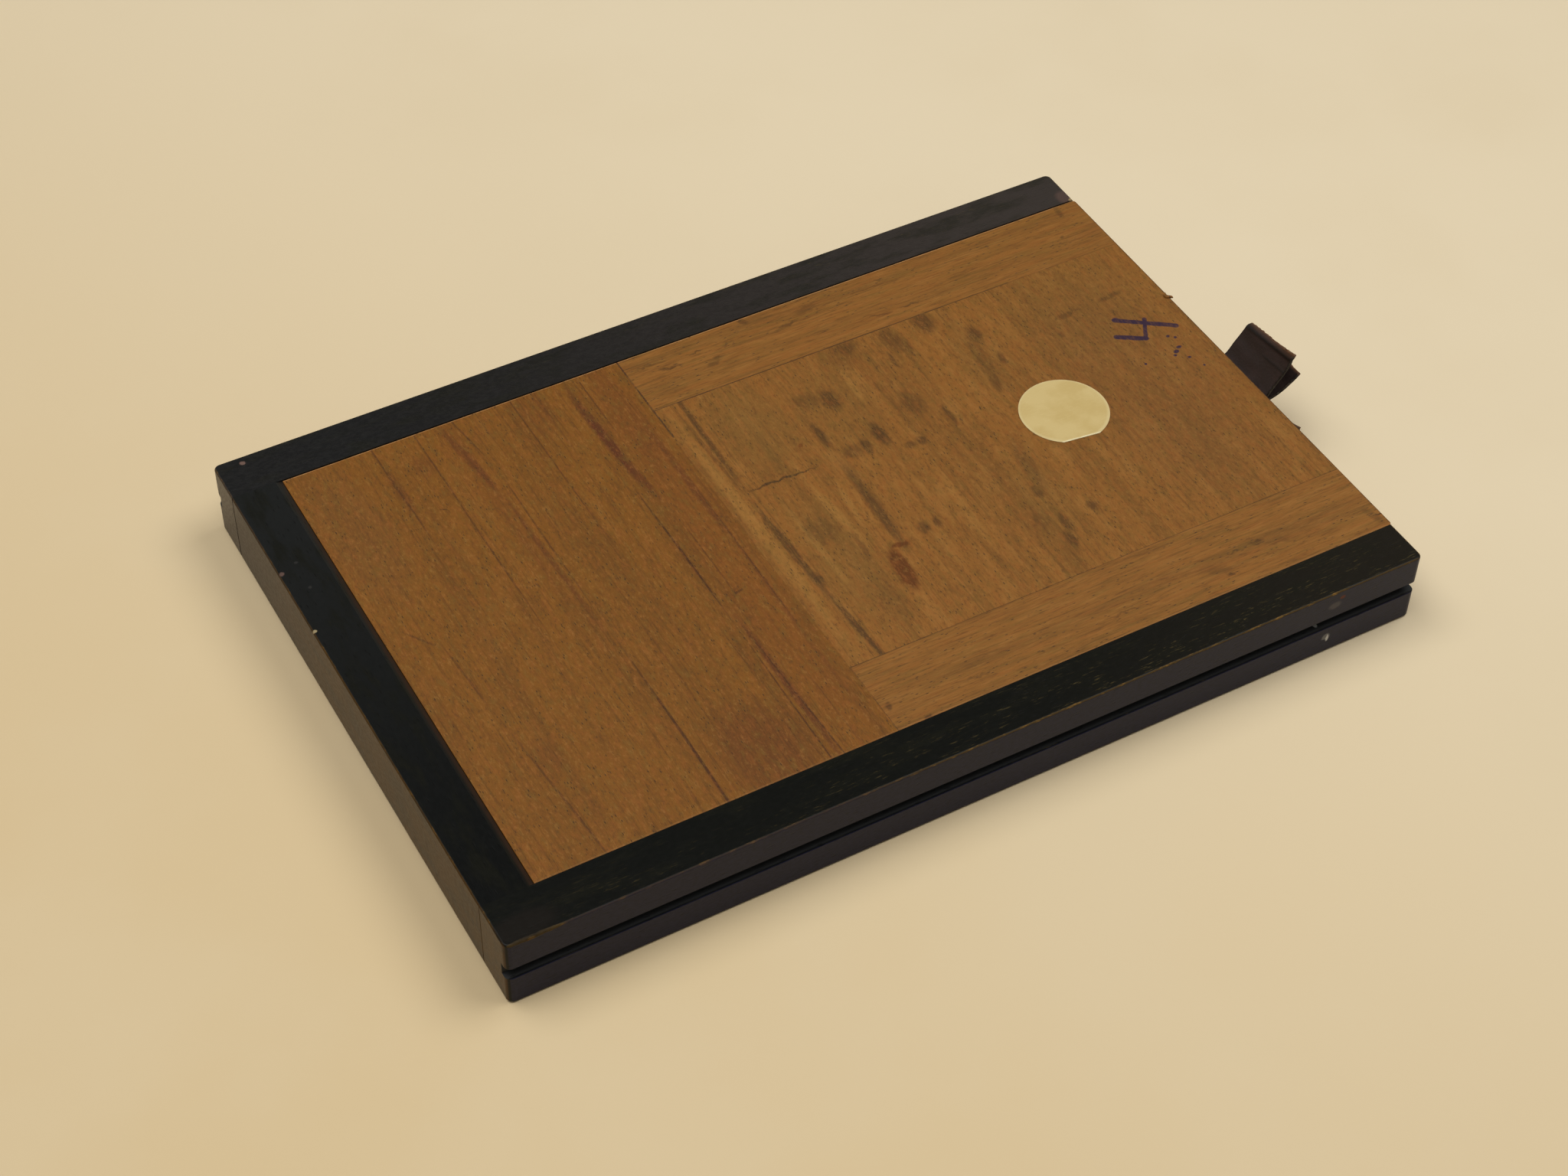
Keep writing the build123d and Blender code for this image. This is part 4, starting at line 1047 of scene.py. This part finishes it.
leather_strap(
    "leather_tab_upper",
    "pull_tab_upper",
    "upper_slide",
    upper_near=((1.4, 1.2), (4.2, 4.9), (6.6, 8.6), (7.1, 10), (7.6, 11.2)),
    upper_far=((1.4, 1), (4, 4.1), (6.4, 7.2), (7.2, 7.6), (7.9, 7.5)),
    lower=((2.4, 0.1), (5.2, 1.3), (7.6, 2.7), (10.3, 5)),
    kerf_z=board_low.z + KERF_RISE * MM,
    fray=0.25,
)
leather_strap(
    "leather_tab_lower",
    "pull_tab_lower",
    "lower_slide",
    upper_near=((4, 0.2), (8, -0.1), (11, -0.7), (12.6, -1.1)),
    upper_far=((4, 0.2), (8, 0), (11, -0.5), (12.4, -0.9)),
    lower=((4, -0.6), (8, -1.1), (10, -1.2), (12.2, -1.2)),
    kerf_z=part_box("slide_board_lower")[1].z - KERF_RISE * MM,
    fray=0.2,
    stretched_corner=1.4,
)


# Light-trap velvet


def velvet_ribbon(name, node, side):
    """A ribbon of velvet folded over its spring: a soft crown, and edges turned down into the channel."""
    low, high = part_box(node)
    half_width = (high.x - low.x) / 2
    middle_x = (low.x + high.x) / 2
    crown_z = high.z if side > 0 else low.z
    shoulder = SHOULDER * MM
    flat_half = half_width - shoulder
    profile = [Vector((-half_width, -shoulder - TURNED_DOWN * MM))]
    for angle in (math.pi / 2 * part / SHOULDER_CELLS for part in range(SHOULDER_CELLS + 1)):
        profile.append(Vector((-flat_half - shoulder * math.cos(angle), shoulder * (math.sin(angle) - 1))))
    for part in range(1, CROWN_CELLS):
        profile.append(Vector((-flat_half + 2 * flat_half * part / CROWN_CELLS, 0)))
    profile += [Vector((-point.x, point.y)) for point in profile[SHOULDER_CELLS + 1 :: -1]]
    rows = round((high.y - low.y) / (VELVET_CELL * MM))
    points = []
    for row in range(rows + 1):
        y = low.y + (high.y - low.y) * row / rows
        for point in profile:
            tuft = uneven_by(1, point.x / MM * 0.8, y / MM * 0.5, side * 4) - 0.6
            sunk = TUFTED * MM * tuft if point.y > -shoulder else 0
            points.append(Vector((middle_x + point.x, y, crown_z + side * (point.y + sunk))))
    ribbon = mesh_piece(name, points, grid_faces(rows, len(profile) - 1), velvet, "holder")
    pile = ribbon.modifiers.new("pile", "SOLIDIFY")
    pile.thickness = PILE * MM
    pile.offset = side
    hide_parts(node)


velvet_ribbon("velvet_ribbon_upper", "velvet_strip_upper", 1)
velvet_ribbon("velvet_ribbon_lower", "velvet_strip_lower", -1)


# A mark of use that stands proud of the surface


def splinter(name, root, tip, width, height, material, body):
    """A raised sliver: three-sided, thick at its root and fine at its tip, with a little kink."""
    root, tip = (corner + Vector(end) * MM for end in (root, tip))
    run = tip - root
    aside = run.cross(Vector((0, 0, 1))).normalized() * width / 2 * MM
    rise = Vector((0, 0, height * MM))
    points = []
    for row in range(SPLINTER_ROWS):
        share = row / (SPLINTER_ROWS - 1)
        taper = (1 - share) ** 0.4
        middle = root + run * share + aside * 0.5 * math.sin(share * 5)
        points += [middle - aside * taper, middle + aside * taper, middle + rise * taper]
    last = 3 * (SPLINTER_ROWS - 1)
    faces = [(0, 2, 1), (last, last + 1, last + 2)]
    for first in range(0, last, 3):
        for k, after in ((0, 1), (1, 2), (2, 0)):
            faces.append((first + k, first + after, first + 3 + after, first + 3 + k))
    mesh_piece(name, points, faces, material, body)


slide_top = in_mm(board_high).z
splinter(
    "end_splinter",
    root=(234.6, 105.6, slide_top - 0.25),
    tip=(235.5, 103.4, slide_top),
    width=1.7,
    height=1.1,
    material=plain_strip_wood,
    body="upper_slide",
)


# Floor, light and camera


def floor_sheet():
    """The sheet on the table, hardly off flat as paper is, which sweeps up far away into a backdrop."""
    ticks = [SHEET_SIZE * (cell / SHEET_CELLS - 0.5) for cell in range(SHEET_CELLS + 1)]
    points = []
    for y in ticks:
        for x in ticks:
            reach = math.hypot(x, y)
            lift = rising(reach - FLAT_REACH, 1) * uneven_by(SHEET_LIFT, x * 3, y * 3, 0.5)
            sweep = SWEEP_RISE * max(0, reach - SWEEP_REACH) ** 2
            points.append((x, y, -SHEET_UNDER + lift + sweep))
    paper_look = table_paper("cream_table_paper")
    mesh = smooth_mesh("table_sheet", points, grid_faces(SHEET_CELLS, SHEET_CELLS), paper_look)
    new_object("table_sheet", mesh)


def softbox(name, place, size, power):
    """A soft white lamp that faces the holder."""
    lamp = bpy.data.lights.new(name, "AREA")
    lamp.shape = "DISK"
    lamp.size = size
    lamp.energy = power
    stand = new_object(name, lamp)
    stand.location = place
    stand.rotation_euler = (-Vector(place)).to_track_quat("-Z", "Y").to_euler()


def room_light():
    """Even pale light from all round, as in a room with pale walls."""
    world = bpy.data.worlds.new("pale_room")
    Drawing.begin(world)
    light = add("Background", {"Color": colour(ROOM), "Strength": ROOM_STRENGTH})
    add("OutputWorld", {"Surface": light})
    bpy.context.scene.world = world


def stand_camera():
    """The camera at the photograph's viewing angle."""
    lens = bpy.data.cameras.new("camera")
    lens.sensor_width = SENSOR_WIDTH
    lens.lens = SENSOR_WIDTH * FOCAL_PIXELS / PHOTO_WIDTH
    lens.clip_start = 0.01
    camera = new_object("camera", lens)
    place = Vector(CAMERA_PLACE)
    look = (Vector(CAMERA_AIM) - place).to_track_quat("-Z", "Y").to_matrix().to_4x4()
    roll = Matrix.Rotation(math.radians(CAMERA_ROLL), 4, "Z")
    camera.matrix_world = Matrix.Translation(place) @ look @ roll
    bpy.context.scene.camera = camera


floor_sheet()
room_light()
softbox("window_light", (0.76, -0.2, 1.47), size=1.1, power=11.5)
softbox("ceiling_light", (-0.45, 0.38, 1.46), size=1, power=9.5)
softbox("fill_light", (-0.45, -0.5, 1.5), size=1.2, power=6.3)
stand_camera()
bpy.context.scene.view_settings.view_transform = "Standard"
